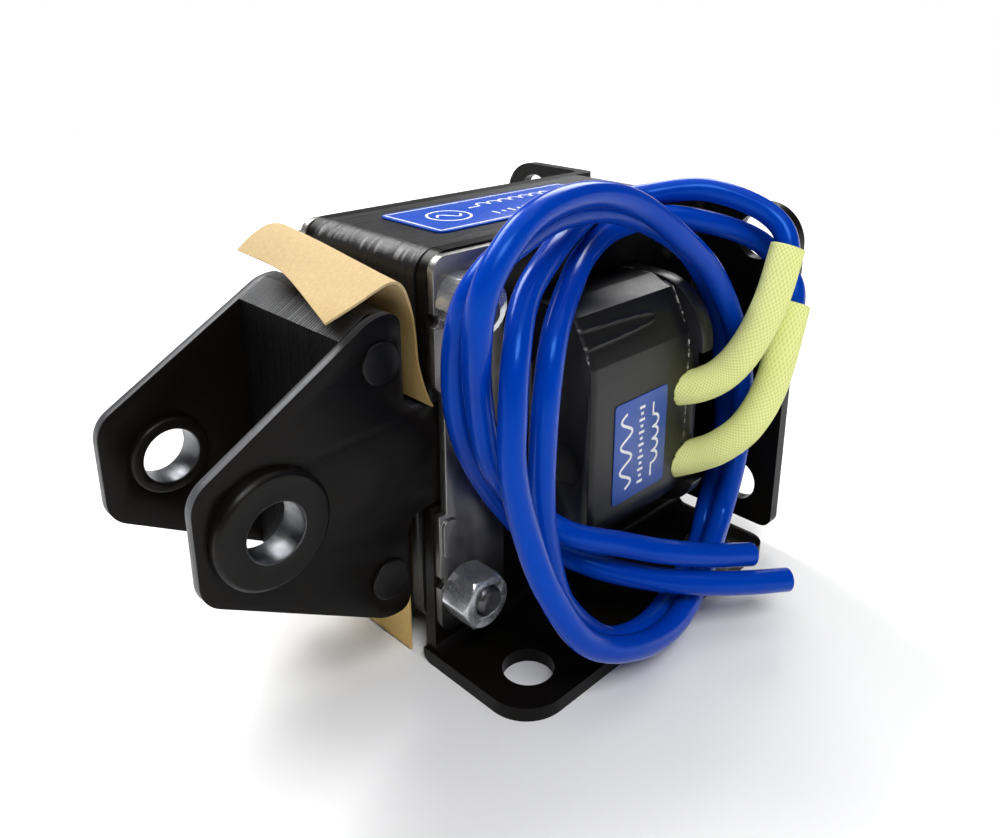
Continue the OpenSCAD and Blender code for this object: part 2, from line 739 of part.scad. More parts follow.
// side vectors carried along the route with as little turning as possible
function carried(l, i, side) = let (t = heading(l, i), n = unit(side - t * (side * t)))
    i == len(l) - 1 ? [n] : concat([n], carried(l, i + 1, n));
function tube_ring(c, n, t, r, sides) = let (b = cross(t, n))
    [for (k = [0 : sides - 1]) c + r * (cos(360 * k / sides) * n + sin(360 * k / sides) * b)];
function tube_points(l, r, sides) = let (n = carried(l, 0, [1, 0, 0]))
    [for (i = [0 : len(l) - 1]) each tube_ring(l[i], n[i], heading(l, i), r, sides)];
// wall triangles of a tube whose points start at a given place in the list
function tube_wall_faces(rings, sides, from, inward) = [for (i = [0 : rings - 2], k = [0 : sides - 1])
    let (a = from + i * sides + k, b = from + i * sides + (k + 1) % sides)
    each inward ? [[a, b, b + sides], [a, b + sides, a + sides]]
        : [[a, b + sides, b], [a, a + sides, b + sides]]];

module solid_tube(route, d, sides) {
    l = placed(route);
    last = (len(l) - 1) * sides;
    polyhedron(tube_points(l, d / 2, sides), concat(
        tube_wall_faces(len(l), sides, 0, false),
        [for (k = [1 : sides - 2]) [0, k, k + 1]],
        [for (k = [1 : sides - 2]) [last, last + k + 1, last + k]]));
}

module hollow_tube(route, d, bore, sides) {
    l = placed(route);
    many = len(l) * sides;
    last = many - sides;
    polyhedron(concat(tube_points(l, d / 2, sides), tube_points(l, bore / 2, sides)), concat(
        tube_wall_faces(len(l), sides, 0, false),
        tube_wall_faces(len(l), sides, many, true),
        [for (k = [0 : sides - 1]) let (j = (k + 1) % sides)
            each [[k, j, many + j], [k, many + j, many + k]]],
        [for (k = [0 : sides - 1]) let (j = (k + 1) % sides)
            each [[last + k, many + last + j, last + j], [last + k, many + last + k, many + last + j]]]));
}

// what is left of a lead or sleeve outside the coil's front face
module outside_coil(route) {
    start = placed(route)[0];
    difference() {
        children();
        translate([start[0] - root_room, -coil_half_y, start[2] - root_room])
            cube([2 * root_room, coil_proud, 2 * root_room]);
    }
}

module sleeve(route) { color("#c8d36a") outside_coil(route) hollow_tube(route, sleeve_d, sleeve_bore, 10); }
module lead(route) { color("#1a3fc0") outside_coil(route) solid_tube(route, lead_d, 8); }

module upper_sleeve() { sleeve(upper_sleeve_route); }
module lower_sleeve() { sleeve(lower_sleeve_route); }
module upper_lead() { lead(upper_lead_route); }
module lower_lead() { lead(lower_lead_route); }

upper_core();
lower_core();
shading_rings();
front_bracket();
rear_bracket();
front_guide_plate();
rear_guide_plate();
clamp_bolts();
clamp_nuts();
core_rivets();
coil_bobbin();
coil_winding();
coil_wrap();
coil_label();
top_plate();
upper_sleeve();
lower_sleeve();
upper_lead();
lower_lead();
plunger_stack();
front_cheek();
rear_cheek();
plunger_rivets();
front_bush();
rear_bush();
upper_paper();
lower_paper();
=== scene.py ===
import math
import random
import bpy
from mathutils import Matrix, Vector


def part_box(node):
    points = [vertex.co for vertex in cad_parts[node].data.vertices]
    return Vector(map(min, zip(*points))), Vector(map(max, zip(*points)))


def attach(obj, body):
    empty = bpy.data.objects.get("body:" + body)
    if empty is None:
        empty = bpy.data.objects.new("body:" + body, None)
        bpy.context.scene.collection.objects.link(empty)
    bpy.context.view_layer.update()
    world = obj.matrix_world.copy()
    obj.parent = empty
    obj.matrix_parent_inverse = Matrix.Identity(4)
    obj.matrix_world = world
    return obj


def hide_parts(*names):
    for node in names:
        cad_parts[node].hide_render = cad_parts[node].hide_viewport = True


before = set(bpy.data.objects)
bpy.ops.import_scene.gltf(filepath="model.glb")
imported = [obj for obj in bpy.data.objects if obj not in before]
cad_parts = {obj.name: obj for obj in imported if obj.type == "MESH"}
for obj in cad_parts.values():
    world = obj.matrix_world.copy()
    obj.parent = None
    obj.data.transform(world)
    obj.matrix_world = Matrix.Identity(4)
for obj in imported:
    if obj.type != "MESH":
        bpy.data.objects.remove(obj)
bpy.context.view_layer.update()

mm = 0.001

# Laminated core: two halves stamped from thin silicon-steel sheet, stacked flat and clamped by the brackets.
# The stack is dipped in black varnish, which fills most of each seam and leaves a fine groove along it.
# The halves meet at the height of the plunger, and the grooves run round every edge of the stack.
sheet_pitch = 0.5 * mm
core_seam_width = 0.14 * mm
core_seam_depth = 0.02 * mm
sheet_stray = 0.012 * mm
merge_gap = 0.002 * mm
flat_angle = math.radians(0.6)
smooth_angle = math.radians(32)
varnish_black = (0.007, 0.007, 0.0075, 1)
varnish_grey = (0.010, 0.010, 0.011, 1)
worn_highlight_grey = (0.20, 0.20, 0.21, 1)
parting_band = 1 * mm
sheet_tones = (0.3, 0.7)
wear_highlight_gain = 2.5
wear_highlight_sharpness = 4


def alone(piece):
    """Selects one piece and nothing else."""
    bpy.ops.object.select_all(action="DESELECT")
    piece.select_set(True)
    bpy.context.view_layer.objects.active = piece


def merged_copy(node, name):
    """A new piece in a node's shape, with its loose triangles merged and its flat faces joined."""
    piece = bpy.data.objects.new(name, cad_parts[node].data.copy())
    bpy.context.scene.collection.objects.link(piece)
    piece.data.materials.clear()
    alone(piece)
    bpy.ops.mesh.customdata_custom_splitnormals_clear()
    bpy.ops.object.mode_set(mode="EDIT")
    bpy.ops.mesh.select_all(action="SELECT")
    bpy.ops.mesh.remove_doubles(threshold=merge_gap)
    bpy.ops.mesh.dissolve_limited(angle_limit=flat_angle)
    bpy.ops.object.mode_set(mode="OBJECT")
    return piece


def smooth(piece, angle=smooth_angle):
    """Shades a piece round, but keeps the edges that are sharper than an angle crisp."""
    alone(piece)
    bpy.ops.object.shade_smooth_by_angle(angle=angle)


def stand_for(piece, body, slot, *nodes):
    """Lets a piece ride on its body and stand for its solids; the slot is not used."""
    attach(piece, body)
    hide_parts(*nodes)


def new_finish(name, **sockets):
    """A material with these sockets of its shader set; an underscore stands for a space."""
    material = bpy.data.materials.new(name)
    material.use_nodes = True
    shader = material.node_tree.nodes["Principled BSDF"]
    for socket, value in sockets.items():
        shader.inputs[socket.replace("_", " ")].default_value = value
    return material


def shader_of(material):
    return material.node_tree.nodes["Principled BSDF"]


def wire(material, source, target):
    material.node_tree.links.new(source, target)


def coordinates(material, stretch=(1, 1, 1), turn=(0, 0, 0), kind="Object"):
    """The piece's own coordinates, scaled and turned for a pattern."""
    place = material.node_tree.nodes.new("ShaderNodeTexCoord")
    mapping = material.node_tree.nodes.new("ShaderNodeMapping")
    mapping.inputs["Scale"].default_value = stretch
    mapping.inputs["Rotation"].default_value = turn
    wire(material, place.outputs[kind], mapping.inputs["Vector"])
    return mapping.outputs["Vector"]


def grain(material, scale, stretch=(1, 1, 1), detail=4, turn=(0, 0, 0)):
    """A cloudy pattern, finer for a higher scale and drawn out along an axis with a small stretch."""
    noise = material.node_tree.nodes.new("ShaderNodeTexNoise")
    noise.inputs["Scale"].default_value = scale
    noise.inputs["Detail"].default_value = detail
    wire(material, coordinates(material, stretch, turn), noise.inputs["Vector"])
    return noise.outputs["Fac"]


def ramp(material, factor, stops):
    """A colour for each value of a pattern, from stops of place and colour."""
    node = material.node_tree.nodes.new("ShaderNodeValToRGB")
    wire(material, factor, node.inputs["Fac"])
    points = node.color_ramp.elements
    while len(points) < len(stops):
        points.new(1)
    for point, (place, tone) in zip(points, stops):
        point.position = place
        point.color = tone
    return node.outputs["Color"]


def span(material, factor, low, high, start=0.3, end=0.7):
    """A pattern's values between start and end, spread from low to high."""
    node = material.node_tree.nodes.new("ShaderNodeMapRange")
    wire(material, factor, node.inputs["Value"])
    for socket, value in (("From Min", start), ("From Max", end), ("To Min", low), ("To Max", high)):
        node.inputs[socket].default_value = value
    return node.outputs["Result"]


def tint(material, factor, stops):
    wire(material, ramp(material, factor, stops), shader_of(material).inputs["Base Color"])


def roughen(material, factor, low, high):
    wire(material, span(material, factor, low, high), shader_of(material).inputs["Roughness"])


def relief(material, height, depth, strength=1.0):
    """Raises a pattern on the surface, over any relief that is there already."""
    bump = material.node_tree.nodes.new("ShaderNodeBump")
    bump.inputs["Distance"].default_value = depth
    bump.inputs["Strength"].default_value = strength
    wire(material, height, bump.inputs["Height"])
    normal = shader_of(material).inputs["Normal"]
    if normal.is_linked:
        wire(material, normal.links[0].from_socket, bump.inputs["Normal"])
    wire(material, bump.outputs["Normal"], normal)


def mark(material, name):
    """The values that a piece carries under a name."""
    node = material.node_tree.nodes.new("ShaderNodeAttribute")
    node.attribute_name = name
    return node.outputs["Fac"]


def show_seams(piece, seed, depth, width):
    """Cuts a groove at every seam of a stack that lies along Y; each sheet strays and has its own tone."""
    low = min(v.co.y for v in piece.data.vertices)
    high = max(v.co.y for v in piece.data.vertices)
    count = round((high - low) / sheet_pitch)
    pitch = (high - low) / count
    alone(piece)
    bpy.ops.object.mode_set(mode="EDIT")
    for i in range(1, count):
        for side in (-0.5, 0, 0.5):
            bpy.ops.mesh.select_all(action="SELECT")
            bpy.ops.mesh.bisect(plane_co=(0, low + i * pitch + side * width, 0), plane_no=(0, 1, 0))
    bpy.ops.object.mode_set(mode="OBJECT")
    chance = random.Random(seed)
    stray = [Vector((chance.uniform(-1, 1), 0, chance.uniform(-1, 1))) * sheet_stray for _ in range(count)]
    tones = [chance.uniform(*sheet_tones) for _ in range(count)]
    for name in ("seam", "sheet_tone"):
        piece.data.attributes.new(name, "FLOAT", "POINT")
    seams, tone = piece.data.attributes["seam"].data, piece.data.attributes["sheet_tone"].data
    for v in piece.data.vertices:
        place = (v.co.y - low) / pitch
        nearest = round(place)
        sheet = min(int(place), count - 1)
        tone[v.index].value = tones[sheet]
        if abs(place - nearest) * pitch < width / 4 and 0 < nearest < count:
            seams[v.index].value = 1
            v.co -= v.normal * depth
        else:
            v.co += stray[sheet]


varnish = new_finish("stack_varnish", Specular_IOR_Level=0.23)
# The wear mark turns the varnish grey on slanted corners: partly rubbed-through wear, partly a painted
# highlight.
tint(varnish, mark(varnish, "wear_and_highlight"), [(0.0, varnish_black), (0.4, varnish_grey), (1.0, worn_highlight_grey)])
roughen(varnish, grain(varnish, 3000), 0.34, 0.42)
relief(varnish, grain(varnish, 3600), 0.05 * mm, 0.7)
core_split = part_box("upper_core")[0].z
for half, seed in (("upper_core", 3), ("lower_core", 5)):
    stack = merged_copy(half, half + "_stack")
    show_seams(stack, seed, core_seam_depth, core_seam_width)
    smooth(stack)
    # The varnish rubs through on the slanted corners in grey stripes, sheet by sheet, partly real wear and
    # partly a painted highlight, but not where the halves meet.
    wear_and_highlight = stack.data.attributes.new("wear_and_highlight", "FLOAT", "POINT")
    for v, sheet in zip(stack.data.vertices, stack.data.attributes["sheet_tone"].data):
        slant = 2 * abs(v.normal.x * v.normal.z)
        if abs(v.co.z - core_split) > parting_band:
            wear_and_highlight.data[v.index].value = wear_highlight_gain * slant ** wear_highlight_sharpness * (sheet.value - sheet_tones[0])
    stack.data.materials.append(varnish)
    stand_for(stack, "frame", "black_laminations", half)

# Shading rings: one closed loop of copper strip pressed into a groove in each pole face.
# They stop an alternating-current magnet from humming, and were dipped in varnish with the stack.
copper_dull = (0.012, 0.007, 0.005, 1)
copper_stained = (0.035, 0.016, 0.009, 1)
ring_edge = 0.12 * mm


def soften(piece, radius, segments=2):
    """Rounds the sharp edges of a piece, as tumbling, plating and paint do."""
    edges = piece.modifiers.new("soft edges", "BEVEL")
    edges.width = radius
    edges.segments = segments
    edges.limit_method = "ANGLE"
    edges.angle_limit = smooth_angle
    edges.miter_outer = "MITER_ARC"
    alone(piece)
    bpy.ops.object.modifier_apply(modifier=edges.name)
    smooth(piece)


copper = new_finish("ring_copper", Specular_IOR_Level=0.4)
tint(copper, grain(copper, 700), [(0.35, copper_dull), (0.7, copper_stained)])
roughen(copper, grain(copper, 1800), 0.35, 0.5)
rings = merged_copy("shading_rings", "copper_rings")
soften(rings, ring_edge)
rings.data.materials.append(copper)
stand_for(rings, "frame", "shading_copper", "shading_rings")

# Bobbin: one black plastic moulding, a square tube with a flange at each end.
# It fills the window of the core, the tongue of the plunger slides in its bore, and its rear flange shows.
bobbin_black = (0.006, 0.006, 0.0065, 1)
bobbin_edge = 0.25 * mm
plastic = new_finish("bobbin_moulding", Base_Color=bobbin_black, Specular_IOR_Level=0.5)
roughen(plastic, grain(plastic, 1500), 0.30, 0.40)
relief(plastic, grain(plastic, 3000, detail=2), 0.02 * mm, 0.4)
bobbin = merged_copy("coil_bobbin", "bobbin_moulding")
soften(bobbin, bobbin_edge)
bobbin.data.materials.append(plastic)
stand_for(bobbin, "frame", "bobbin_plastic", "coil_bobbin")

# Winding: enamelled copper wire in close turns round the bobbin, hidden under the film.
# The solid stays, and its finish carries the turns, painted dark between them as painted shade and bright on
# their crowns as painted highlight.
enamel_shaded = (0.16, 0.05, 0.02, 1)
enamel_lit = (0.55, 0.21, 0.09, 1)
turns_scale = 700
turn_height = 0.1 * mm
enamel = new_finish("winding_enamel", Metallic=0.85, Roughness=0.3)
turns = enamel.node_tree.nodes.new("ShaderNodeTexWave")
turns.bands_direction = "X"
turns.inputs["Scale"].default_value = turns_scale
wire(enamel, coordinates(enamel), turns.inputs["Vector"])
# Painted shade between the turns and painted highlight on their crowns.
tint(enamel, turns.outputs["Fac"], [(0.0, enamel_shaded), (1.0, enamel_lit)])
relief(enamel, turns.outputs["Fac"], turn_height)
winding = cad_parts["coil_winding"]
winding.data.materials[0] = enamel

# Film wrap: black plastic film wound round the finished coil and stuck to itself.
# It is drawn flat over the corners of the winding, so it folds into long facets and shallow creases.
film_low, film_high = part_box("coil_wrap")
film_top_radius = 7.5 * mm
film_low_radius = 6.4 * mm
film_step = 0.2 * mm
film_thickness = 0.4 * mm
facet_angles = (0, 58, 90)
crease_height = 0.16 * mm
crease_spread = 1.6
crease_close = 0.3
edge_fray = 0.1 * mm
edge_round = 0.9 * mm
edge_sink = 0.35 * mm
edge_lap = 0.06 * mm
fold_ease = 0.25 * mm
fold_reach = 4 * mm
fold_turn = 25
fold_rows = 10
scuff_reach = 0.8 * mm
scuff_above = 1.4 * mm
scuff_spread = 0.7 * mm
scuff_full = 6 * mm
scuff_low_share = 0.5
fray_seed = 11
film_black = (0.005, 0.005, 0.006, 1)
film_grey = (0.03, 0.03, 0.03, 1)
film_bare = (0.40, 0.39, 0.37, 1)
# Each pair of creases has its middle and half its opening in degrees, then its tip and its reach.
crease_eyes = [(34, 10.5, 4 * mm, 15 * mm), (48, 8, 3 * mm, 12 * mm)]


def film_outline():
    """Places round the coil, each with its outward direction, and its corner's number, angle and radius."""
    corners = ((-1, 1, film_top_radius), (1, 1, film_top_radius), (1, -1, film_low_radius),
               (-1, -1, film_low_radius))
    rows = []
    for number, (side, up, radius) in enumerate(corners):
        centre = Vector((0, (film_high.y - radius) * side,
                         film_high.z - radius if up > 0 else film_low.z + radius))
        steps = round(radius * math.pi / 2 / film_step)
        for i in range(steps + 1):
            angle = 90 * i / steps
            rise = angle if number % 2 == 0 else 90 - angle
            out = Vector((0, side * math.cos(math.radians(rise)), up * math.sin(math.radians(rise))))
            rows.append((centre + out * radius, out, number, rise if up > 0 else -rise, radius))
    front = Vector((0, -1, 0))
    for step in range(fold_rows, 0, -1):
        below = fold_reach * (step / fold_rows) ** 2
        place = Vector((0, film_low.y, film_high.z - film_top_radius - below))
        rows.append((place, front, 0, -1, film_top_radius))
    return rows


def facet_sink(angle, radius):
    """How far a film that is drawn straight between two folds lies inside the round corner."""
    for start, end in zip(facet_angles, facet_angles[1:]):
        if start <= angle <= end:
            half = math.radians((end - start) / 2)
            return radius * (1 - math.cos(half) / math.cos(math.radians(angle) - math.radians(start) - half))
    return 0


def fold_sink(place, corner, angle):
    """How far the film is drawn in along its front fold: gently below it, and back out soon above it."""
    below = film_high.z - film_top_radius - place.z
    if corner != 0 or below > fold_reach or angle > fold_turn:
        return 0
    return fold_ease * (1 - (below / fold_reach if below > 0 else angle / fold_turn)) ** 2


def crease_lift(angle, along, eye):
    """A pair of creases that start apart and close to a point, as an eye does."""
    middle, half_open, tip, reach = eye
    gone = (tip - along) / reach
    if gone <= 0 or angle < 0:
        return 0
    opening = half_open * min(gone, 1) ** crease_close
    return crease_height * max(math.exp(-((angle - middle - side * opening) / crease_spread) ** 2)
                               for side in (-1, 1))


def thicken(piece, thickness, offset):
    """Gives a surface a thickness: inward with an offset of -1, and to both sides with 0."""
    wall = piece.modifiers.new("thickness", "SOLIDIFY")
    wall.thickness = thickness
    wall.offset = offset
    alone(piece)
    bpy.ops.object.modifier_apply(modifier=wall.name)


def combine(material, operation, first, second):
    """Two patterns added or multiplied."""
    node = material.node_tree.nodes.new("ShaderNodeMath")
    node.operation = operation
    wire(material, first, node.inputs[0])
    wire(material, second, node.inputs[1])
    return node.outputs["Value"]


film_rows = film_outline()
columns = round((film_high.x - film_low.x) / film_step)
bpy.ops.object.select_all(action="DESELECT")
bpy.ops.mesh.primitive_grid_add(x_subdivisions=columns, y_subdivisions=len(film_rows), size=1)
film = bpy.context.object
film.name = "film_wrap"
chance = random.Random(fray_seed)
fray = [chance.uniform(-1, 1) * edge_fray for _ in film_rows]
for v in film.data.vertices:
    row = round((v.co.y + 0.5) * len(film_rows)) % len(film_rows)
    column = round((v.co.x + 0.5) * columns)
    place, out, corner, angle, radius = film_rows[row]
    x = film_low.x + (film_high.x - film_low.x) * column / columns
    if column == columns:
        x += fray[row]
    if column == 0:
        x -= edge_lap
    short = min(max(0, 1 - (x - film_low.x) / edge_round), 1)
    lift = crease_lift(angle, x, crease_eyes[corner % 2]) - facet_sink(angle, radius)
    lift -= edge_sink * (1 - math.sqrt(1 - short ** 2)) + fold_sink(place, corner, angle)
    v.co = Vector((x, place.y, place.z)) + out * lift
alone(film)
bpy.ops.object.mode_set(mode="EDIT")
bpy.ops.mesh.select_all(action="SELECT")
bpy.ops.mesh.remove_doubles(threshold=merge_gap)
bpy.ops.mesh.normals_make_consistent(inside=False)
bpy.ops.object.mode_set(mode="OBJECT")
scuff = film.data.attributes.new("scuff", "FLOAT", "POINT")
front_fold = film_high.z - film_top_radius
for v in film.data.vertices:
    share = 1 if v.co.z > front_fold - scuff_full else scuff_low_share
    right = max(0, 1 - (film_high.x - v.co.x) / scuff_reach) * share
    near_fold = math.exp(-((v.co.z - front_fold - scuff_above) / scuff_spread) ** 2)
    left = max(0, 1 - (v.co.x - film_low.x) / scuff_reach) * near_fold
    scuff.data[v.index].value = max(left, right)
thicken(film, film_thickness, -1)
smooth(film)
film_finish = new_finish("coil_film", Specular_IOR_Level=0.3)
patch = combine(film_finish, "MULTIPLY", mark(film_finish, "scuff"),
                span(film_finish, grain(film_finish, 1100, detail=6), 0, 1, 0.42, 0.56))
tint(film_finish, patch, [(0.0, film_black), (0.4, film_grey), (0.8, film_bare)])
roughen(film_finish, grain(film_finish, 1600), 0.32, 0.39)
relief(film_finish, grain(film_finish, 110, stretch=(0.25, 1, 1), detail=1), 0.10 * mm, 0.35)
film.data.materials.append(film_finish)
stand_for(film, "frame", "black_film", "coil_wrap")

# Brackets: two mirror-image pressings of steel sheet with a foot, a web and a rear flange.
# They are blanked, folded and sprayed satin black, and the core rivets clamp them on the stack.
paint_black = (0.0042, 0.0034, 0.0028, 1)
bracket_edge = 0.3 * mm
paint = new_finish("satin_black_paint", Base_Color=paint_black, Specular_IOR_Level=0.11)
roughen(paint, grain(paint, 900), 0.28, 0.36)
relief(paint, grain(paint, 2200, detail=3), 0.02 * mm, 0.4)
for side in ("front", "rear"):
    bracket = merged_copy(side + "_bracket", side + "_bracket_pressing")
    soften(bracket, bracket_edge, 3)
    # The flat faces stay flat in their shading, next to the rounded edges.
    flats = bracket.modifiers.new("true flats", "WEIGHTED_NORMAL")
    flats.keep_sharp = True
    bpy.ops.object.modifier_apply(modifier=flats.name)
    bracket.data.materials.append(paint)
    stand_for(bracket, "frame", "black_sheet", side + "_bracket")

# Core rivets: two steel rivets through both brackets and the stack at the rear, with domed heads.
# They are painted with the brackets.
rivet_black = (0.0040, 0.0038, 0.0038, 1)
core_rivet_edge = 0.1 * mm
rivet_paint = new_finish("rivet_paint", Base_Color=rivet_black, Specular_IOR_Level=0.18)
roughen(rivet_paint, grain(rivet_paint, 900), 0.28, 0.38)
relief(rivet_paint, grain(rivet_paint, 1800), 0.03 * mm, 0.4)
core_rivets = merged_copy("core_rivets", "domed_core_rivets")
soften(core_rivets, core_rivet_edge)
core_rivets.data.materials.append(rivet_paint)
stand_for(core_rivets, "frame", "black_rivet", "core_rivets")

# Guide plates: bright zinc-plated pressings bolted over the webs at the plunger end.
# Their middles are cut back, a pad is pressed up at the lower end, and they keep the tongue in line.
# The plating is painted darker towards the lower end as painted shade, and keeps its full colour from the
# cut-back up.
zinc_dark = (0.22, 0.214, 0.204, 1)
zinc_light = (0.30, 0.292, 0.28, 1)
lower_shade_share = 0.3
shade_full_below = 9 * mm
shade_clear_above = 17 * mm
guide_edge = 0.35 * mm


def height_of(material):
    """The height of each point of a piece above the underside of the feet."""
    place = material.node_tree.nodes.new("ShaderNodeSeparateXYZ")
    wire(material, coordinates(material), place.inputs["Vector"])
    return place.outputs["Z"]


def shade(material, tone, value, saturation=None):
    """Colours a material with a tone, darkened by one pattern and made fuller by another."""
    node = material.node_tree.nodes.new("ShaderNodeHueSaturation")
    wire(material, tone, node.inputs["Color"])
    wire(material, value, node.inputs["Value"])
    if saturation is not None:
        wire(material, saturation, node.inputs["Saturation"])
    wire(material, node.outputs["Color"], shader_of(material).inputs["Base Color"])


zinc = new_finish("satin_zinc", Metallic=1.0)
plating = ramp(zinc, grain(zinc, 90, detail=2), [(0.3, zinc_dark), (0.7, zinc_light)])
# Painted shade: the plating's colour is darkened towards the lower end.
shade(zinc, plating, span(zinc, height_of(zinc), lower_shade_share, 1, shade_full_below, shade_clear_above))
roughen(zinc, grain(zinc, 300, detail=2), 0.32, 0.46)
relief(zinc, grain(zinc, 70, detail=1), 0.08 * mm, 0.25)
relief(zinc, grain(zinc, 3200, detail=2), 0.01 * mm, 0.4)
for side in ("front", "rear"):
    plate = merged_copy(side + "_guide_plate", side + "_guide_pressing")
    soften(plate, guide_edge, 3)
    plate.data.materials.append(zinc)
    stand_for(plate, "frame", "plated_steel", side + "_guide_plate")

# Clamp bolts: two dark hexagon-head bolts through guide plates, webs and stack, headed at the rear.
# Their threads are rolled, and each ends a little proud of its nut with a turned-down tip.
bolt_diameter = 4.0 * mm
thread_pitch = 0.7 * mm
thread_depth = 0.3 * mm
thread_length = 12 * mm
thread_rows_per_pitch = 6
tip_chamfer = 0.6 * mm
bolt_sides = 36
bolt_edge = 0.12 * mm
bolt_dark = (0.05, 0.05, 0.055, 1)
bolt_light = (0.14, 0.14, 0.15, 1)
guide_thickness = 1.2 * mm
bolt_low, bolt_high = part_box("clamp_bolts")
head_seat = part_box("rear_guide_plate")[0].y + guide_thickness


def threaded_shank(x, z):
    """A shank along Y with a thread at its front end, as one closed piece at the origin."""
    length = head_seat - bolt_low.y
    bpy.ops.object.select_all(action="DESELECT")
    bpy.ops.mesh.primitive_cylinder_add(
        vertices=bolt_sides, radius=bolt_diameter / 2, depth=length,
        location=(x, bolt_low.y + length / 2, z), rotation=(math.radians(90), 0, 0))
    shank = bpy.context.object
    bpy.ops.object.transform_apply(location=True, rotation=True, scale=True)
    rows = round(thread_length / thread_pitch) * thread_rows_per_pitch
    bpy.ops.object.mode_set(mode="EDIT")
    for i in range(1, rows + 1):
        bpy.ops.mesh.select_all(action="SELECT")
        bpy.ops.mesh.bisect(plane_co=(0, bolt_low.y + thread_length * i / rows, 0), plane_no=(0, 1, 0))
    bpy.ops.object.mode_set(mode="OBJECT")
    for v in shank.data.vertices:
        back = v.co.y - bolt_low.y
        if back > thread_length + merge_gap:
            continue
        turn = math.atan2(v.co.z - z, v.co.x - x) / (2 * math.pi)
        flank = abs(2 * ((back / thread_pitch + turn) % 1) - 1)
        radius = min(bolt_diameter / 2 - thread_depth * flank, bolt_diameter / 2 - tip_chamfer + back)
        out = Vector((v.co.x - x, 0, v.co.z - z)).normalized()
        v.co = Vector((x, v.co.y, z)) + out * radius
    return shank


def joined(pieces, name):
    """Joins pieces into the first of them."""
    alone(pieces[0])
    for piece in pieces:
        piece.select_set(True)
    bpy.ops.object.join()
    pieces[0].name = name
    return pieces[0]


bolt_finish = new_finish("dark_bolt_steel", Metallic=0.9)
tint(bolt_finish, grain(bolt_finish, 800), [(0.3, bolt_dark), (0.7, bolt_light)])
roughen(bolt_finish, grain(bolt_finish, 1500), 0.3, 0.5)
bolts = merged_copy("clamp_bolts", "hexagon_bolts")
bpy.ops.object.mode_set(mode="EDIT")
bpy.ops.mesh.select_all(action="SELECT")
bpy.ops.mesh.bisect(plane_co=(0, head_seat, 0), plane_no=(0, 1, 0), use_fill=True, clear_inner=True)
bpy.ops.object.mode_set(mode="OBJECT")
soften(bolts, bolt_edge)
nut_low, nut_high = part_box("clamp_nuts")
nut_corner = (nut_high.x - nut_low.x) / 2
shanks = [threaded_shank((nut_low.x + nut_high.x) / 2, z)
          for z in (bolt_low.z + nut_corner, bolt_high.z - nut_corner)]
for shank in shanks:
    smooth(shank)
joined([bolts, *shanks], "hexagon_bolts")
bolts.data.materials.append(bolt_finish)
stand_for(bolts, "frame", "dark_bolt_steel", "clamp_bolts")

# Clamp nuts: two zinc-plated hexagon nuts on the front ends of the bolts.
# They are cold-formed, chamfered on both faces, and draw the plates and the stack together.
nut_edge = 0.14 * mm
nut_dark = (0.48, 0.49, 0.51, 1)
nut_light = (0.64, 0.65, 0.67, 1)
nut_finish = new_finish("plated_nut", Metallic=0.85)
tint(nut_finish, grain(nut_finish, 200, detail=2), [(0.3, nut_dark), (0.7, nut_light)])
roughen(nut_finish, grain(nut_finish, 900, stretch=(1, 0.15, 1), detail=3), 0.22, 0.32)
nuts = merged_copy("clamp_nuts", "hexagon_nuts")
soften(nuts, nut_edge)
nuts.data.materials.append(nut_finish)
stand_for(nuts, "frame", "nut_steel", "clamp_nuts")

# Coil label: a thin blue plastic label stuck on the film, printed in white with plain electrical signs.
# A wave, a row of ticks and a row of coil turns run up it, drawn as thin ink on the surface.
ink_width = 0.42 * mm
ink_height = 0.03 * mm
label_edge = 0.05 * mm
label_margin = 1.8 * mm
label_dark = (0.013, 0.058, 0.29, 1)
label_light = (0.019, 0.072, 0.34, 1)
ink_dark = (0.62, 0.63, 0.65, 1)
ink_light = (0.80, 0.81, 0.82, 1)
arc_steps = 16
swing_steps = 20
turn_rise = 1.4
ink_sides = 8


def tube(name, line, diameter, sides, capped=True):
    """A round tube along a line, made as a bevelled curve and turned into a mesh."""
    curve = bpy.data.curves.new(name, "CURVE")
    curve.dimensions = "3D"
    curve.bevel_depth = diameter / 2
    curve.bevel_resolution = (sides - 4) // 2
    curve.use_fill_caps = capped
    spline = curve.splines.new("POLY")
    spline.points.add(len(line) - 1)
    for point, place in zip(spline.points, line):
        point.co = (*place, 1)
    piece = bpy.data.objects.new(name, curve)
    bpy.context.scene.collection.objects.link(piece)
    alone(piece)
    bpy.ops.object.convert(target="MESH")
    return bpy.context.object


def inked(name, strokes, place, width=ink_width):
    """Thin ink strokes as one piece; each is a list of points on a plane, which place puts in the frame."""
    pieces = []
    level = place(0, 0)
    normal = (place(1, 0) - level).cross(place(0, 1) - level).normalized()
    for stroke in strokes:
        piece = tube(name, [place(*point) for point in stroke], width, ink_sides)
        for v in piece.data.vertices:
            height = (v.co - level).dot(normal)
            v.co -= normal * height * (1 - ink_height / width)
        pieces.append(piece)
    ink = joined(pieces, name)
    smooth(ink)
    return ink


def wave(start, length, side, height, swings):
    """An alternating-current wave along the first axis."""
    steps = swing_steps * swings
    return [(start + length * i / steps, side + height * math.sin(2 * math.pi * swings * i / steps))
            for i in range(steps + 1)]


def coil_turns(start, length, side, count):
    """A row of half rounds with a straight tail at each end, as a coil is drawn."""
    radius = length / (count + 2) / 2
    line = [(start, side)]
    for k in range(count):
        centre = start + radius * (3 + 2 * k)
        for i in range(arc_steps + 1):
            turn = math.pi * i / arc_steps
            line.append((centre - radius * math.cos(turn), side + turn_rise * radius * math.sin(turn)))
    return line + [(start + length, side)]


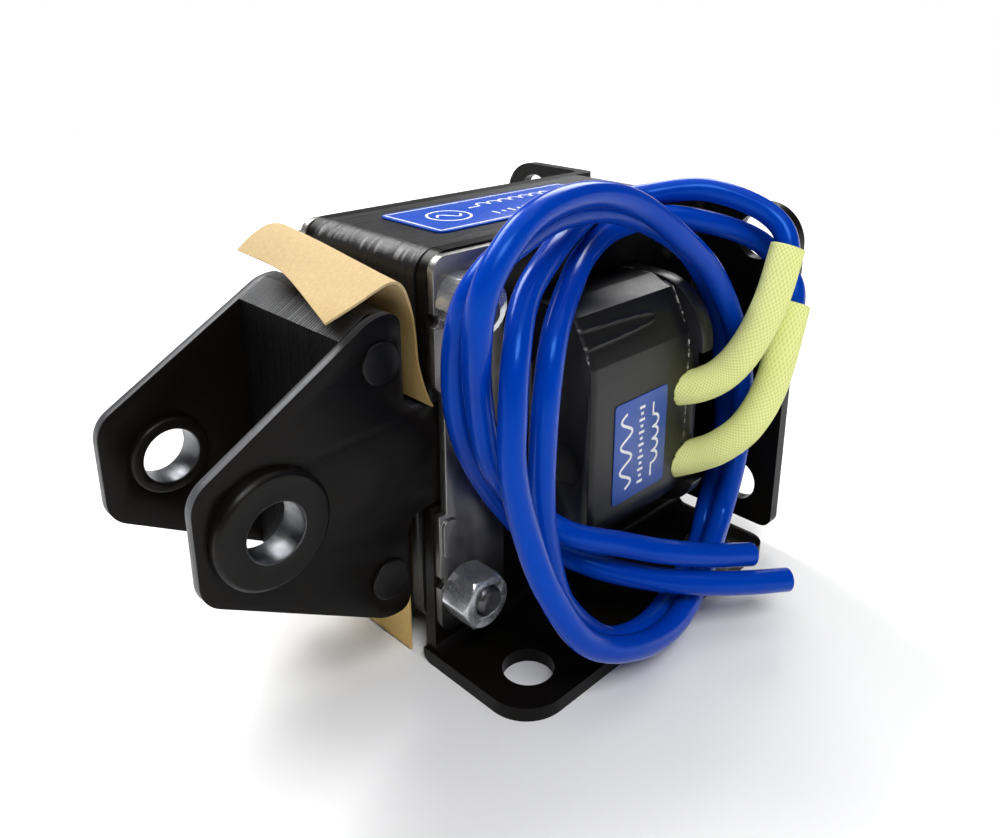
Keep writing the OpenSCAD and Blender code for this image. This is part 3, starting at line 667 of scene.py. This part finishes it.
def ticks(start, length, side, height, count):
    """A row of short bars, every other one longer."""
    bars = []
    for i in range(count):
        reach = height * (0.5 + 0.5 * (i % 2 == 0))
        bars.append([(start + length * i / (count - 1), side + up * reach) for up in (-1, 1)])
    return bars


label_low, label_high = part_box("coil_label")
label_height = label_high.z - label_low.z
label_middle = (label_low.x + label_high.x) / 2


def on_label(up, right):
    """A point on the label's face, up from its lower edge and right of its middle line."""
    return Vector((label_middle + right, label_low.y, label_low.z + up))


label_blue = new_finish("label_blue", Specular_IOR_Level=0.5)
tint(label_blue, grain(label_blue, 1200), [(0.3, label_dark), (0.7, label_light)])
roughen(label_blue, grain(label_blue, 600), 0.28, 0.42)
label = merged_copy("coil_label", "label_print")
soften(label, label_edge)
label.data.materials.append(label_blue)
stand_for(label, "frame", "blue_label", "coil_label")
white_ink = new_finish("white_ink", Specular_IOR_Level=0.3)
tint(white_ink, grain(white_ink, 2500), [(0.3, ink_dark), (0.7, ink_light)])
roughen(white_ink, grain(white_ink, 900), 0.4, 0.55)
run = label_height - 2 * label_margin
strokes = [wave(label_margin, run, side=-3.2 * mm, height=1.2 * mm, swings=3),
           coil_turns(label_margin, run, side=2.6 * mm, count=4)]
strokes += ticks(label_margin, run, side=0.1 * mm, height=0.6 * mm, count=13)
label_ink = inked("label_ink", strokes, on_label)
label_ink.data.materials.append(white_ink)
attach(label_ink, "frame")

# Top plate: a thin plate of blue anodised foil, stuck on top of the core.
# A white line runs round it, with a wave in a ring, a row of coil turns and a row of ticks inside.
plate_edge = 0.08 * mm
plate_dark = (0.001, 0.044, 0.33, 1)
plate_light = (0.001, 0.052, 0.38, 1)
plate_ink_width = 0.36 * mm
line_in = 0.7 * mm
ring_in = 7.2 * mm
ring_radius = 3.1 * mm
plate_low, plate_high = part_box("top_plate")
plate_length = plate_high.x - plate_low.x
plate_width = plate_high.y - plate_low.y


def on_plate(right, up):
    """A point on the plate's face, from its left front corner."""
    return Vector((plate_low.x + right, plate_low.y + up, plate_high.z))


plate_blue = new_finish("plate_blue", Specular_IOR_Level=0.16)
tint(plate_blue, grain(plate_blue, 1200), [(0.3, plate_dark), (0.7, plate_light)])
roughen(plate_blue, grain(plate_blue, 1500), 0.34, 0.44)
plate = merged_copy("top_plate", "plate_print")
soften(plate, plate_edge)
plate.data.materials.append(plate_blue)
stand_for(plate, "frame", "blue_plate", "top_plate")
half_width = plate_width / 2
far_x, far_y = plate_length - line_in, plate_width - line_in
border = [(line_in, half_width), (line_in, line_in), (far_x, line_in), (far_x, far_y), (line_in, far_y),
          (line_in, half_width)]
ring_turns = [math.pi * i / arc_steps for i in range(2 * arc_steps + 1)]
ring = [(ring_in + ring_radius * math.cos(turn), half_width + ring_radius * math.sin(turn))
        for turn in ring_turns]
strokes = [border, ring, wave(5.2 * mm, 4 * mm, side=half_width, height=1.1 * mm, swings=1),
           coil_turns(12.5 * mm, 20 * mm, side=8.6 * mm, count=7)]
strokes += ticks(13.5 * mm, 18 * mm, side=3.8 * mm, height=0.8 * mm, count=13)
plate_ink = inked("plate_ink", strokes, on_plate, plate_ink_width)
plate_ink.data.materials.append(white_ink)
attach(plate_ink, "frame")

# Plunger stack: a T of the same stampings, varnished, with a long tongue that slides into the coil.
# The top and slopes take a lighter finish as painted light, and the sheets show most there; the sides take a
# near-black one as painted shade.
stack_seam_depth = 0.06 * mm
stack_seam_width = 0.22 * mm
fold_angle = math.radians(20)
plunger_seed = 8
top_lean = 0.3
shaded_side_dark = (0.0012, 0.0012, 0.0013, 1)
shaded_side_light = (0.0028, 0.0028, 0.0030, 1)
lit_top_light = (0.024, 0.026, 0.030, 1)
lit_top_dark = (0.011, 0.012, 0.014, 1)
seam_black = (0.001, 0.001, 0.001, 1)
shaded_side_varnish = new_finish("plunger_shaded_varnish", Specular_IOR_Level=0.05)
tint(shaded_side_varnish, mark(shaded_side_varnish, "sheet_tone"), [(0.3, shaded_side_dark), (0.7, shaded_side_light)])
roughen(shaded_side_varnish, grain(shaded_side_varnish, 2600), 0.4, 0.5)
lit_top_varnish = new_finish("plunger_lit_varnish", Specular_IOR_Level=0.36)
tint(lit_top_varnish, combine(lit_top_varnish, "ADD", mark(lit_top_varnish, "seam"), mark(lit_top_varnish, "sheet_tone")),
     [(0.3, lit_top_light), (0.7, lit_top_dark), (1.0, seam_black)])
roughen(lit_top_varnish, mark(lit_top_varnish, "sheet_tone"), 0.40, 0.52)
relief(lit_top_varnish, grain(lit_top_varnish, 3000), 0.02 * mm, 0.5)
plunger = merged_copy("plunger_stack", "plunger_laminations")
show_seams(plunger, plunger_seed, stack_seam_depth, stack_seam_width)
smooth(plunger, fold_angle)
plunger.data.materials.append(shaded_side_varnish)
plunger.data.materials.append(lit_top_varnish)
# Faces that face up or down take the lighter finish as painted light; the sides take the near-black one as
# painted shade.
for face in plunger.data.polygons:
    face.material_index = int(abs(face.normal.z) > top_lean)
stand_for(plunger, "plunger", "black_laminations", "plunger_stack")

# Cheeks: two blanked steel plates riveted on the stack, which carry the pin bushes past its end.
# They are painted, and the sheared edges take a lighter finish, partly thinner paint and partly a painted
# highlight.
cheek_edge = 0.22 * mm
side_lean = 0.3
edge_dark = (0.012, 0.012, 0.013, 1)
edge_bare_and_highlight = (0.060, 0.062, 0.068, 1)
edge_paint_and_highlight = new_finish("sheared_edge_highlight_paint", Specular_IOR_Level=0.28)
tint(edge_paint_and_highlight, grain(edge_paint_and_highlight, 500, stretch=(0.12, 3, 0.12)), [(0.35, edge_dark), (0.6, edge_bare_and_highlight)])
roughen(edge_paint_and_highlight, grain(edge_paint_and_highlight, 1800), 0.38, 0.5)
relief(edge_paint_and_highlight, grain(edge_paint_and_highlight, 2800), 0.03 * mm, 0.5)
for side in ("front", "rear"):
    cheek = merged_copy(side + "_cheek", side + "_cheek_plate")
    soften(cheek, cheek_edge)
    cheek.data.materials.append(paint)
    cheek.data.materials.append(edge_paint_and_highlight)
    # Faces that do not face front or back take the lighter edge finish, partly a painted highlight.
    for face in cheek.data.polygons:
        face.material_index = int(abs(face.normal.y) < side_lean)
    stand_for(cheek, "plunger", "black_sheet", side + "_cheek")

# Plunger rivets: flat-headed steel rivets through both cheeks and the stack.
# They are closed cold and painted over with the cheeks.
plunger_rivet_edge = 0.15 * mm
plunger_rivets = merged_copy("plunger_rivets", "flat_plunger_rivets")
soften(plunger_rivets, plunger_rivet_edge)
plunger_rivets.data.materials.append(rivet_paint)
stand_for(plunger_rivets, "plunger", "black_rivet", "plunger_rivets")

# Bushes: turned steel bushes with a flange, one pressed into each cheek for the clevis pin.
# They are blackened outside, and the pin keeps the bore bright.
pin_radius = 3.5 * mm
bore_band = 0.2 * mm
bush_edge = 0.15 * mm
bush_tone = (0.0046, 0.0038, 0.0032, 1)
bore_dark = (0.065, 0.067, 0.072, 1)
bore_light = (0.10, 0.103, 0.11, 1)
bush_black = new_finish("blackened_bush", Base_Color=bush_tone, Specular_IOR_Level=0.15)
roughen(bush_black, grain(bush_black, 1200), 0.28, 0.38)
bore_steel = new_finish("bright_bore", Metallic=1.0)
tint(bore_steel, grain(bore_steel, 500), [(0.3, bore_dark), (0.7, bore_light)])
roughen(bore_steel, grain(bore_steel, 1800, stretch=(1, 0.3, 1)), 0.30, 0.42)
for side in ("front", "rear"):
    bush = merged_copy(side + "_bush", side + "_turned_bush")
    soften(bush, bush_edge)
    bush.data.materials.append(bush_black)
    bush.data.materials.append(bore_steel)
    low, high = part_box(side + "_bush")
    axis = (low + high) / 2
    for face in bush.data.polygons:
        reach = max(math.hypot(bush.data.vertices[i].co.x - axis.x, bush.data.vertices[i].co.z - axis.z)
                    for i in face.vertices)
        face.material_index = int(reach < pin_radius + bore_band)
    stand_for(bush, "plunger", "black_bush", side + "_bush")

# Packing papers: two slips of kraft paper in the pole gaps; the upper one is folded over the T bar.
# Its free end curls up at the back, and the lower front corner is bent outwards.
# Each edge runs from the hanging end to the free end, in millimetres out from the pole face and over the bar.
paper_back = [(-0.6, -12.4), (-0.7, -7), (-0.9, -2), (-1.2, 1.4), (-1.5, 3.8), (-2.8, 5.8), (-5.2, 6.4),
              (-7.8, 5.4), (-10, 3.8)]
paper_middle = [(-0.6, -12.4), (-0.7, -7), (-0.9, -2), (-1.3, 1.4), (-1.8, 3.6), (-2.9, 5), (-4.6, 5.2),
                (-6.8, 4.4), (-8.9, 3)]
paper_front = [(-0.6, -12.4), (-0.7, -7), (-1.1, -2), (-1.9, 1.2), (-2.7, 2.8), (-3.8, 3.4), (-5.4, 3.2),
               (-9.4, 1.8), (-13.2, 0.6)]
middle_share = 0.635
corner_ease = 0.12
corner_flare = 2.6 * mm
paper_thickness = 0.3 * mm
paper_half_width = 12.2 * mm
paper_columns = 48
paper_rows = 24
kraft_dark = (0.44, 0.325, 0.165, 1)
kraft_light = (0.54, 0.405, 0.215, 1)
fold_shade_band = 2 * mm
shade_fuller = 1.22
pole_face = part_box("upper_core")[0].x
bar_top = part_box("plunger_stack")[1].z


def along(points, place):
    """The point at a place from 0 to 1 on a smooth curve through all the points."""
    last = len(points) - 1
    i = min(int(place * last), last - 1)
    t = place * last - i
    a, b, c, d = (Vector(points[min(max(i + k, 0), last)]) for k in (-1, 0, 1, 2))
    return (2 * b + (c - a) * t + (2 * a - 5 * b + 4 * c - d) * t ** 2 + (3 * b - a - 3 * c + d) * t ** 3) / 2


def run_length(points):
    return sum((q - p).length for p, q in zip(points, points[1:]))


def on_paper(place, across):
    """A point of the paper: place runs from its hanging to its free edge, across from front to back."""
    front, middle, back = (along(edge, place) for edge in (paper_front, paper_middle, paper_back))
    slope = (middle - front) / middle_share
    turn = (back - middle) / (1 - middle_share) - slope
    past = across - middle_share
    edge = (front + slope * across + turn * (past + math.hypot(past, corner_ease)) / 2) * mm
    bent = corner_flare * max(0, 1 - place * (len(paper_front) - 1)) ** 1.5 * (1 - across) ** 3
    return Vector((pole_face + edge.x, (2 * across - 1) * paper_half_width - bent, bar_top + edge.y))


kraft = new_finish("kraft_paper", Specular_IOR_Level=0.15, Roughness=0.85)
fibres = ramp(kraft, grain(kraft, 4200, stretch=(0.4, 1, 0.5), detail=6),
              [(0.25, kraft_dark), (0.75, kraft_light)])
# The kraft colour is painted by height: lighter low down as painted light, darker and fuller where it hangs
# below the bar as painted shade, and plain over the bar.
fold_low, fold_high = bar_top - fold_shade_band, bar_top + fold_shade_band
height_share = span(kraft, height_of(kraft), 0, 1, 0, fold_high)
painted_paper_shade = ramp(kraft, height_share, [(0.3, (1.2, 1.2, 1.2, 1)), (0.5, (0.55, 0.55, 0.55, 1)),
                                  (fold_low / fold_high, (0.55, 0.55, 0.55, 1)), (1.0, (1, 1, 1, 1))])
shade(kraft, fibres, painted_paper_shade, span(kraft, height_of(kraft), shade_fuller, 1, fold_low, fold_high))
relief(kraft, grain(kraft, 2400, stretch=(0.4, 1, 1)), 0.02 * mm, 0.5)
bpy.ops.object.select_all(action="DESELECT")
bpy.ops.mesh.primitive_grid_add(x_subdivisions=paper_columns, y_subdivisions=paper_rows, size=1)
paper = bpy.context.object
paper.name = "folded_paper"
for v in paper.data.vertices:
    v.co = on_paper(v.co.x + 0.5, v.co.y + 0.5)
thicken(paper, paper_thickness, 0)
smooth(paper)
paper.data.materials.append(kraft)
stand_for(paper, "frame", "kraft_paper", "upper_paper")

slip = merged_copy("lower_paper", "flat_paper")
# The slip takes the same kraft, so it too is painted lighter low down as painted light.
slip.data.materials.append(kraft)
stand_for(slip, "frame", "kraft_paper", "lower_paper")

# Sleeves: woven glass sleeving, varnished pale yellow, slipped over each lead where it leaves the coil.
# They keep the leads off the bobbin's edge. Each comes through the film at a slant and is cut off square.
# Routes are in millimetres from the middle of the coil's front face.
sleeve_diameter = 5.0 * mm
sleeve_steps = 16
weave_sides = 48
weave_strands = 24
weave_height = 0.14 * mm
sleeve_wall = 0.4 * mm
weave_shadow = (0.56, 0.59, 0.18, 1)
weave_yellow = (0.72, 0.76, 0.29, 1)
weave_lit_crown = (0.79, 0.83, 0.36, 1)
bobbin_low, bobbin_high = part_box("coil_bobbin")
coil_face = Vector(((bobbin_low.x + bobbin_high.x) / 2, film_low.y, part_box("upper_core")[0].z))
sleeve_routes = {
    "upper": [(7.5, 2, 1.5), (10, -1.5, 2.5), (12.5, -4, 4.5), (15, -6, 8.5), (18.5, -7, 14.5), (22, -7, 22)],
    "lower": [(8, 2, -10.5), (10.5, -1.5, -9), (12.5, -4.5, -7), (15.5, -7, -3.5), (19.5, -8, 2.5),
              (24.5, -7.5, 13)]}


def laid_route(route, steps_per_span):
    """A smooth line through the points of a route, in the object's own frame."""
    points = [coil_face + Vector(p) * mm for p in route]
    steps = steps_per_span * (len(points) - 1)
    return [along(points, i / steps) for i in range(steps + 1)]


def crossing(material):
    """High where two threads of a weave cross and low between them, from the piece's weave layer."""
    place = material.node_tree.nodes.new("ShaderNodeSeparateXYZ")
    wire(material, coordinates(material, (2 * math.pi, 2 * math.pi, 1), kind="UV"), place.inputs["Vector"])
    waves = []
    for way in ("X", "Y"):
        wave_node = material.node_tree.nodes.new("ShaderNodeMath")
        wave_node.operation = "COSINE"
        wire(material, place.outputs[way], wave_node.inputs[0])
        waves.append(wave_node.outputs["Value"])
    return span(material, combine(material, "MULTIPLY", *waves), 0, 1, -1, 1)


sleeving = new_finish("yellow_sleeving", Specular_IOR_Level=0.2)
knots = crossing(sleeving)
# The weave is painted darker between the threads as painted shade and lighter on their crowns as painted
# light.
tint(sleeving, knots, [(0.0, weave_shadow), (0.5, weave_yellow), (1.0, weave_lit_crown)])
roughen(sleeving, grain(sleeving, 2500), 0.6, 0.75)
relief(sleeving, knots, weave_height, 0.45)
relief(sleeving, grain(sleeving, 5000), 0.02 * mm, 0.4)
for name, route in sleeve_routes.items():
    line = laid_route(route, sleeve_steps)
    sleeve = tube(name + "_sleeve_weave", line, sleeve_diameter, weave_sides, capped=False)
    rows_of_knots = run_length(line) / (math.pi * sleeve_diameter) * weave_strands
    while sleeve.data.uv_layers:
        sleeve.data.uv_layers.remove(sleeve.data.uv_layers[0])
    weave = sleeve.data.uv_layers.new(name="weave")
    for face in sleeve.data.polygons:
        corners = [divmod(i, weave_sides) for i in face.vertices]
        closes = max(side for _, side in corners) - min(side for _, side in corners) > 1
        for loop, (row, side) in zip(face.loop_indices, corners):
            around = weave_sides if closes and side == 0 else side
            weave.data[loop].uv = (around / weave_sides * weave_strands,
                                   row / (len(line) - 1) * rows_of_knots)
    alone(sleeve)
    bpy.ops.object.mode_set(mode="EDIT")
    bpy.ops.mesh.select_all(action="SELECT")
    bpy.ops.mesh.bisect(plane_co=coil_face, plane_no=(0, 1, 0), clear_outer=True)
    bpy.ops.object.mode_set(mode="OBJECT")
    thicken(sleeve, sleeve_wall, -1)
    bpy.ops.object.shade_smooth()
    sleeve.data.materials.append(sleeving)
    stand_for(sleeve, "frame", "yellow_sleeving", name + "_sleeve")

# Leads: two blue insulated wires that come out of the coil through the sleeves.
# They are bundled in two loose loops in front of the coil and end cut off square at the right.
lead_diameter = 3.4 * mm
lead_sides = 24
lead_steps = 8
insulation_wall = 0.85 * mm
cut_depth = 0.4 * mm
rim_round = 0.4 * mm
rim_angle = math.radians(60)
strand_radius = 0.26 * mm
strand_length = 4 * mm
strand_edge = 0.06 * mm
strand_stagger = 0.05 * mm
blue_dark = (0.0003, 0.034, 0.34, 1)
blue_light = (0.0004, 0.040, 0.37, 1)
blue_sheen = (0.10, 0.36, 1.0, 1)
strand_dark = (0.38, 0.14, 0.06, 1)
strand_light = (0.68, 0.32, 0.16, 1)
lead_routes = {
    "upper": sleeve_routes["upper"] + [
        (22, -3, 26.5), (16.5, 4, 29.5), (10, 10.5, 28.5), (3, 11.5, 28.5), (-6, 9, 27), (-15.5, 5, 25),
        (-22.5, 2, 22), (-27, -1, 17), (-29, -2.5, 11), (-29.5, -3, 4.5), (-28.5, -4, -3), (-27, -6.5, -11),
        (-22.5, -9, -19.5), (-14, -10.5, -24), (-4, -9.5, -26), (7, -6.5, -24), (16.5, -3, -21),
        (19.5, -3, -12), (20, -3, -2), (18, -2, 9), (12, -1, 19), (4.5, 0, 25.5), (-3, 1, 30.5),
        (-11.5, 1, 33), (-20.5, 0, 33), (-27, -1, 31), (-31.5, -1, 26), (-32, 0, 19.5), (-29.5, 2.5, 11),
        (-27, 3, 2), (-20.5, 4, -6.5), (-17, -0.5, -10.5), (-9.5, -4, -14), (-4.5, -7, -16),
        (2.5, -10, -18.5), (9.5, -12.5, -20.5)],
    "lower": sleeve_routes["lower"] + [
        (25.5, -5, 17.5), (24, -1, 21.5), (17.5, 3, 24.5), (10, 7, 26), (2.5, 9.5, 25), (-5, 8, 23),
        (-12.5, 4, 21), (-19.5, 0, 17.5), (-23, -2, 11), (-23.5, -2, 4), (-23.5, -2, -3), (-22.5, -2, -9.5),
        (-20.5, -3, -18), (-14, -4.5, -26), (-7.5, -6, -27.5), (1, -5, -27), (13.5, -1, -26),
        (18.5, 1, -22), (21.5, 1, -14), (22, 1, -6), (21.5, 2, 4), (18, 2, 12.5), (12, 3, 21),
        (3.5, 4, 26.5), (-5, 4.5, 29.5), (-14, 4.5, 30), (-22, 3.5, 28.5), (-28, 3, 26), (-30.5, 4, 21.5),
        (-30, 6, 14), (-28.5, 7, 6.5), (-25, 8, -1), (-20, 8, -9), (-15.5, 6, -15), (-11.5, 0, -18),
        (-6.5, -5, -20), (-0.5, -10, -21.5), (6.5, -14, -23), (12.5, -17, -24)]}
insulation = new_finish("blue_insulation", Specular_IOR_Level=0.4, Specular_Tint=blue_sheen)
tint(insulation, grain(insulation, 60, detail=1), [(0.3, blue_dark), (0.7, blue_light)])
roughen(insulation, grain(insulation, 90, detail=1), 0.18, 0.25)
strand_copper = new_finish("strand_copper", Metallic=1.0)
tint(strand_copper, grain(strand_copper, 2000), [(0.3, strand_dark), (0.7, strand_light)])
roughen(strand_copper, grain(strand_copper, 1500), 0.22, 0.4)


def cut_end(lead, centre, heading):
    """Rounds the rim of a cut lead and sinks the conductor's face into it."""
    alone(lead)
    bpy.ops.object.mode_set(mode="EDIT")
    bpy.ops.mesh.select_mode(type="FACE")
    bpy.ops.mesh.select_all(action="SELECT")
    bpy.ops.mesh.remove_doubles(threshold=merge_gap)
    bpy.ops.mesh.select_all(action="DESELECT")
    bpy.ops.object.mode_set(mode="OBJECT")
    for face in lead.data.polygons:
        face.select = (face.center - centre).length < lead_diameter and abs(face.normal.dot(heading)) > 0.9
    bpy.ops.object.mode_set(mode="EDIT")
    bpy.ops.mesh.dissolve_faces()
    bpy.ops.mesh.inset(thickness=insulation_wall, use_even_offset=False)
    bpy.ops.mesh.extrude_region_move(TRANSFORM_OT_translate={"value": -heading * cut_depth})
    bpy.ops.object.mode_set(mode="OBJECT")
    rim = lead.modifiers.new("cut rim", "BEVEL")
    rim.width = rim_round
    rim.segments = 3
    rim.limit_method = "ANGLE"
    rim.angle_limit = rim_angle
    bpy.ops.object.modifier_apply(modifier=rim.name)


def conductor(name, centre, heading):
    """Seven copper strands side by side, just below the cut end of a lead."""
    turn = heading.to_track_quat("Z", "Y").to_matrix().to_4x4()
    strands = []
    for k in range(7):
        turned = k * math.pi / 3
        off = Vector((math.cos(turned), math.sin(turned), 0)) if k > 0 else Vector((0, 0, 0))
        bpy.ops.object.select_all(action="DESELECT")
        bpy.ops.mesh.primitive_cylinder_add(vertices=12, radius=strand_radius, depth=strand_length)
        strand = bpy.context.object
        tip = -cut_depth / 2 - strand_length / 2 - (k % 3) * strand_stagger
        strand.data.transform(Matrix.Translation(centre) @ turn
                              @ Matrix.Translation(off * 2 * strand_radius + Vector((0, 0, tip))))
        soften(strand, strand_edge)
        strands.append(strand)
    return joined(strands, name)


for name, route in lead_routes.items():
    line = laid_route(route, lead_steps)
    line = line[next(i for i, place in enumerate(line) if place.y <= coil_face.y):]
    lead = tube(name + "_lead_wire", line, lead_diameter, lead_sides)
    heading = (line[-1] - line[-2]).normalized()
    cut_end(lead, line[-1], heading)
    smooth(lead)
    lead.data.materials.append(insulation)
    stand_for(lead, "frame", "blue_insulation", name + "_lead")
    core = conductor(name + "_lead_strands", line[-1], heading)
    core.data.materials.append(strand_copper)
    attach(core, "frame")

# Studio: a plain round pale floor under a sky that is pale at eye level and dim above.
# Soft rectangular lights hang overhead, behind, at the side and over the shoulder.
floor_radius = 0.6
floor_pale = (0.86, 0.86, 0.86, 1)
sky_pale = (1.0, 1.0, 1.0, 1)
sky_dim = (0.03, 0.03, 0.033, 1)
bpy.ops.object.select_all(action="DESELECT")
bpy.ops.mesh.primitive_circle_add(vertices=96, radius=floor_radius, fill_type="NGON")
floor = bpy.context.object
floor.name = "studio_floor"
floor_finish = new_finish("studio_floor", Base_Color=floor_pale, Roughness=0.8, Specular_IOR_Level=0.05)
floor.data.materials.append(floor_finish)
middle = Vector((0, 0, 0.03))


def soft_light(name, place, width, depth, power):
    """A soft rectangular light that points at the middle of the object."""
    lamp = bpy.data.lights.new(name, "AREA")
    lamp.shape = "RECTANGLE"
    lamp.size = width
    lamp.size_y = depth
    lamp.energy = power
    holder = bpy.data.objects.new(name, lamp)
    holder.location = place
    holder.rotation_euler = (middle - Vector(place)).to_track_quat("-Z", "Y").to_euler()
    bpy.context.scene.collection.objects.link(holder)


soft_light("skylight", (-0.06, 0.57, 0.66), 0.6, 0.35, 9.0)
soft_light("shoulder", (-0.30, -0.52, 0.75), 0.4, 0.3, 5.0)
soft_light("side", (0.75, 0.42, 0.66), 0.5, 0.4, 5.0)
soft_light("ceiling", (0.0, 0.0, 2.2), 3.0, 3.0, 30.0)
world = bpy.data.worlds.new("studio")
world.use_nodes = True
sky = world.node_tree.nodes["Background"]
sky_direction = world.node_tree.nodes.new("ShaderNodeTexCoord")
sky_height = world.node_tree.nodes.new("ShaderNodeSeparateXYZ")
fade = world.node_tree.nodes.new("ShaderNodeValToRGB")
fade.color_ramp.elements[0].position = 0.09
fade.color_ramp.elements[0].color = sky_pale
fade.color_ramp.elements[1].position = 0.13
fade.color_ramp.elements[1].color = sky_dim
world.node_tree.links.new(sky_direction.outputs["Generated"], sky_height.inputs["Vector"])
world.node_tree.links.new(sky_height.outputs["Z"], fade.inputs["Fac"])
world.node_tree.links.new(fade.outputs["Color"], sky.inputs["Color"])
bpy.context.scene.world = world
bpy.context.scene.view_settings.view_transform = "Standard"

# Camera: where the photograph was taken from, at the eye of someone bending over a bench.
# Its place, direction, roll and shift were solved from the corners of the object.
camera_place = Vector((-92.09, -92.94, 85.22)) * mm
camera_forward = Vector((0.690, 0.6561, -0.3058))
camera_roll = math.radians(0.69)
lens = bpy.data.cameras.new("camera")
lens.lens = 32.29
lens.sensor_width = 36
lens.shift_x = -0.04
lens.shift_y = -0.119
lens.clip_start = 1 * mm
camera = bpy.data.objects.new("camera", lens)
turn = camera_forward.to_track_quat("-Z", "Y").to_matrix() @ Matrix.Rotation(camera_roll, 3, "Z")
camera.matrix_world = Matrix.Translation(camera_place) @ turn.to_4x4()
bpy.context.scene.collection.objects.link(camera)
bpy.context.scene.camera = camera
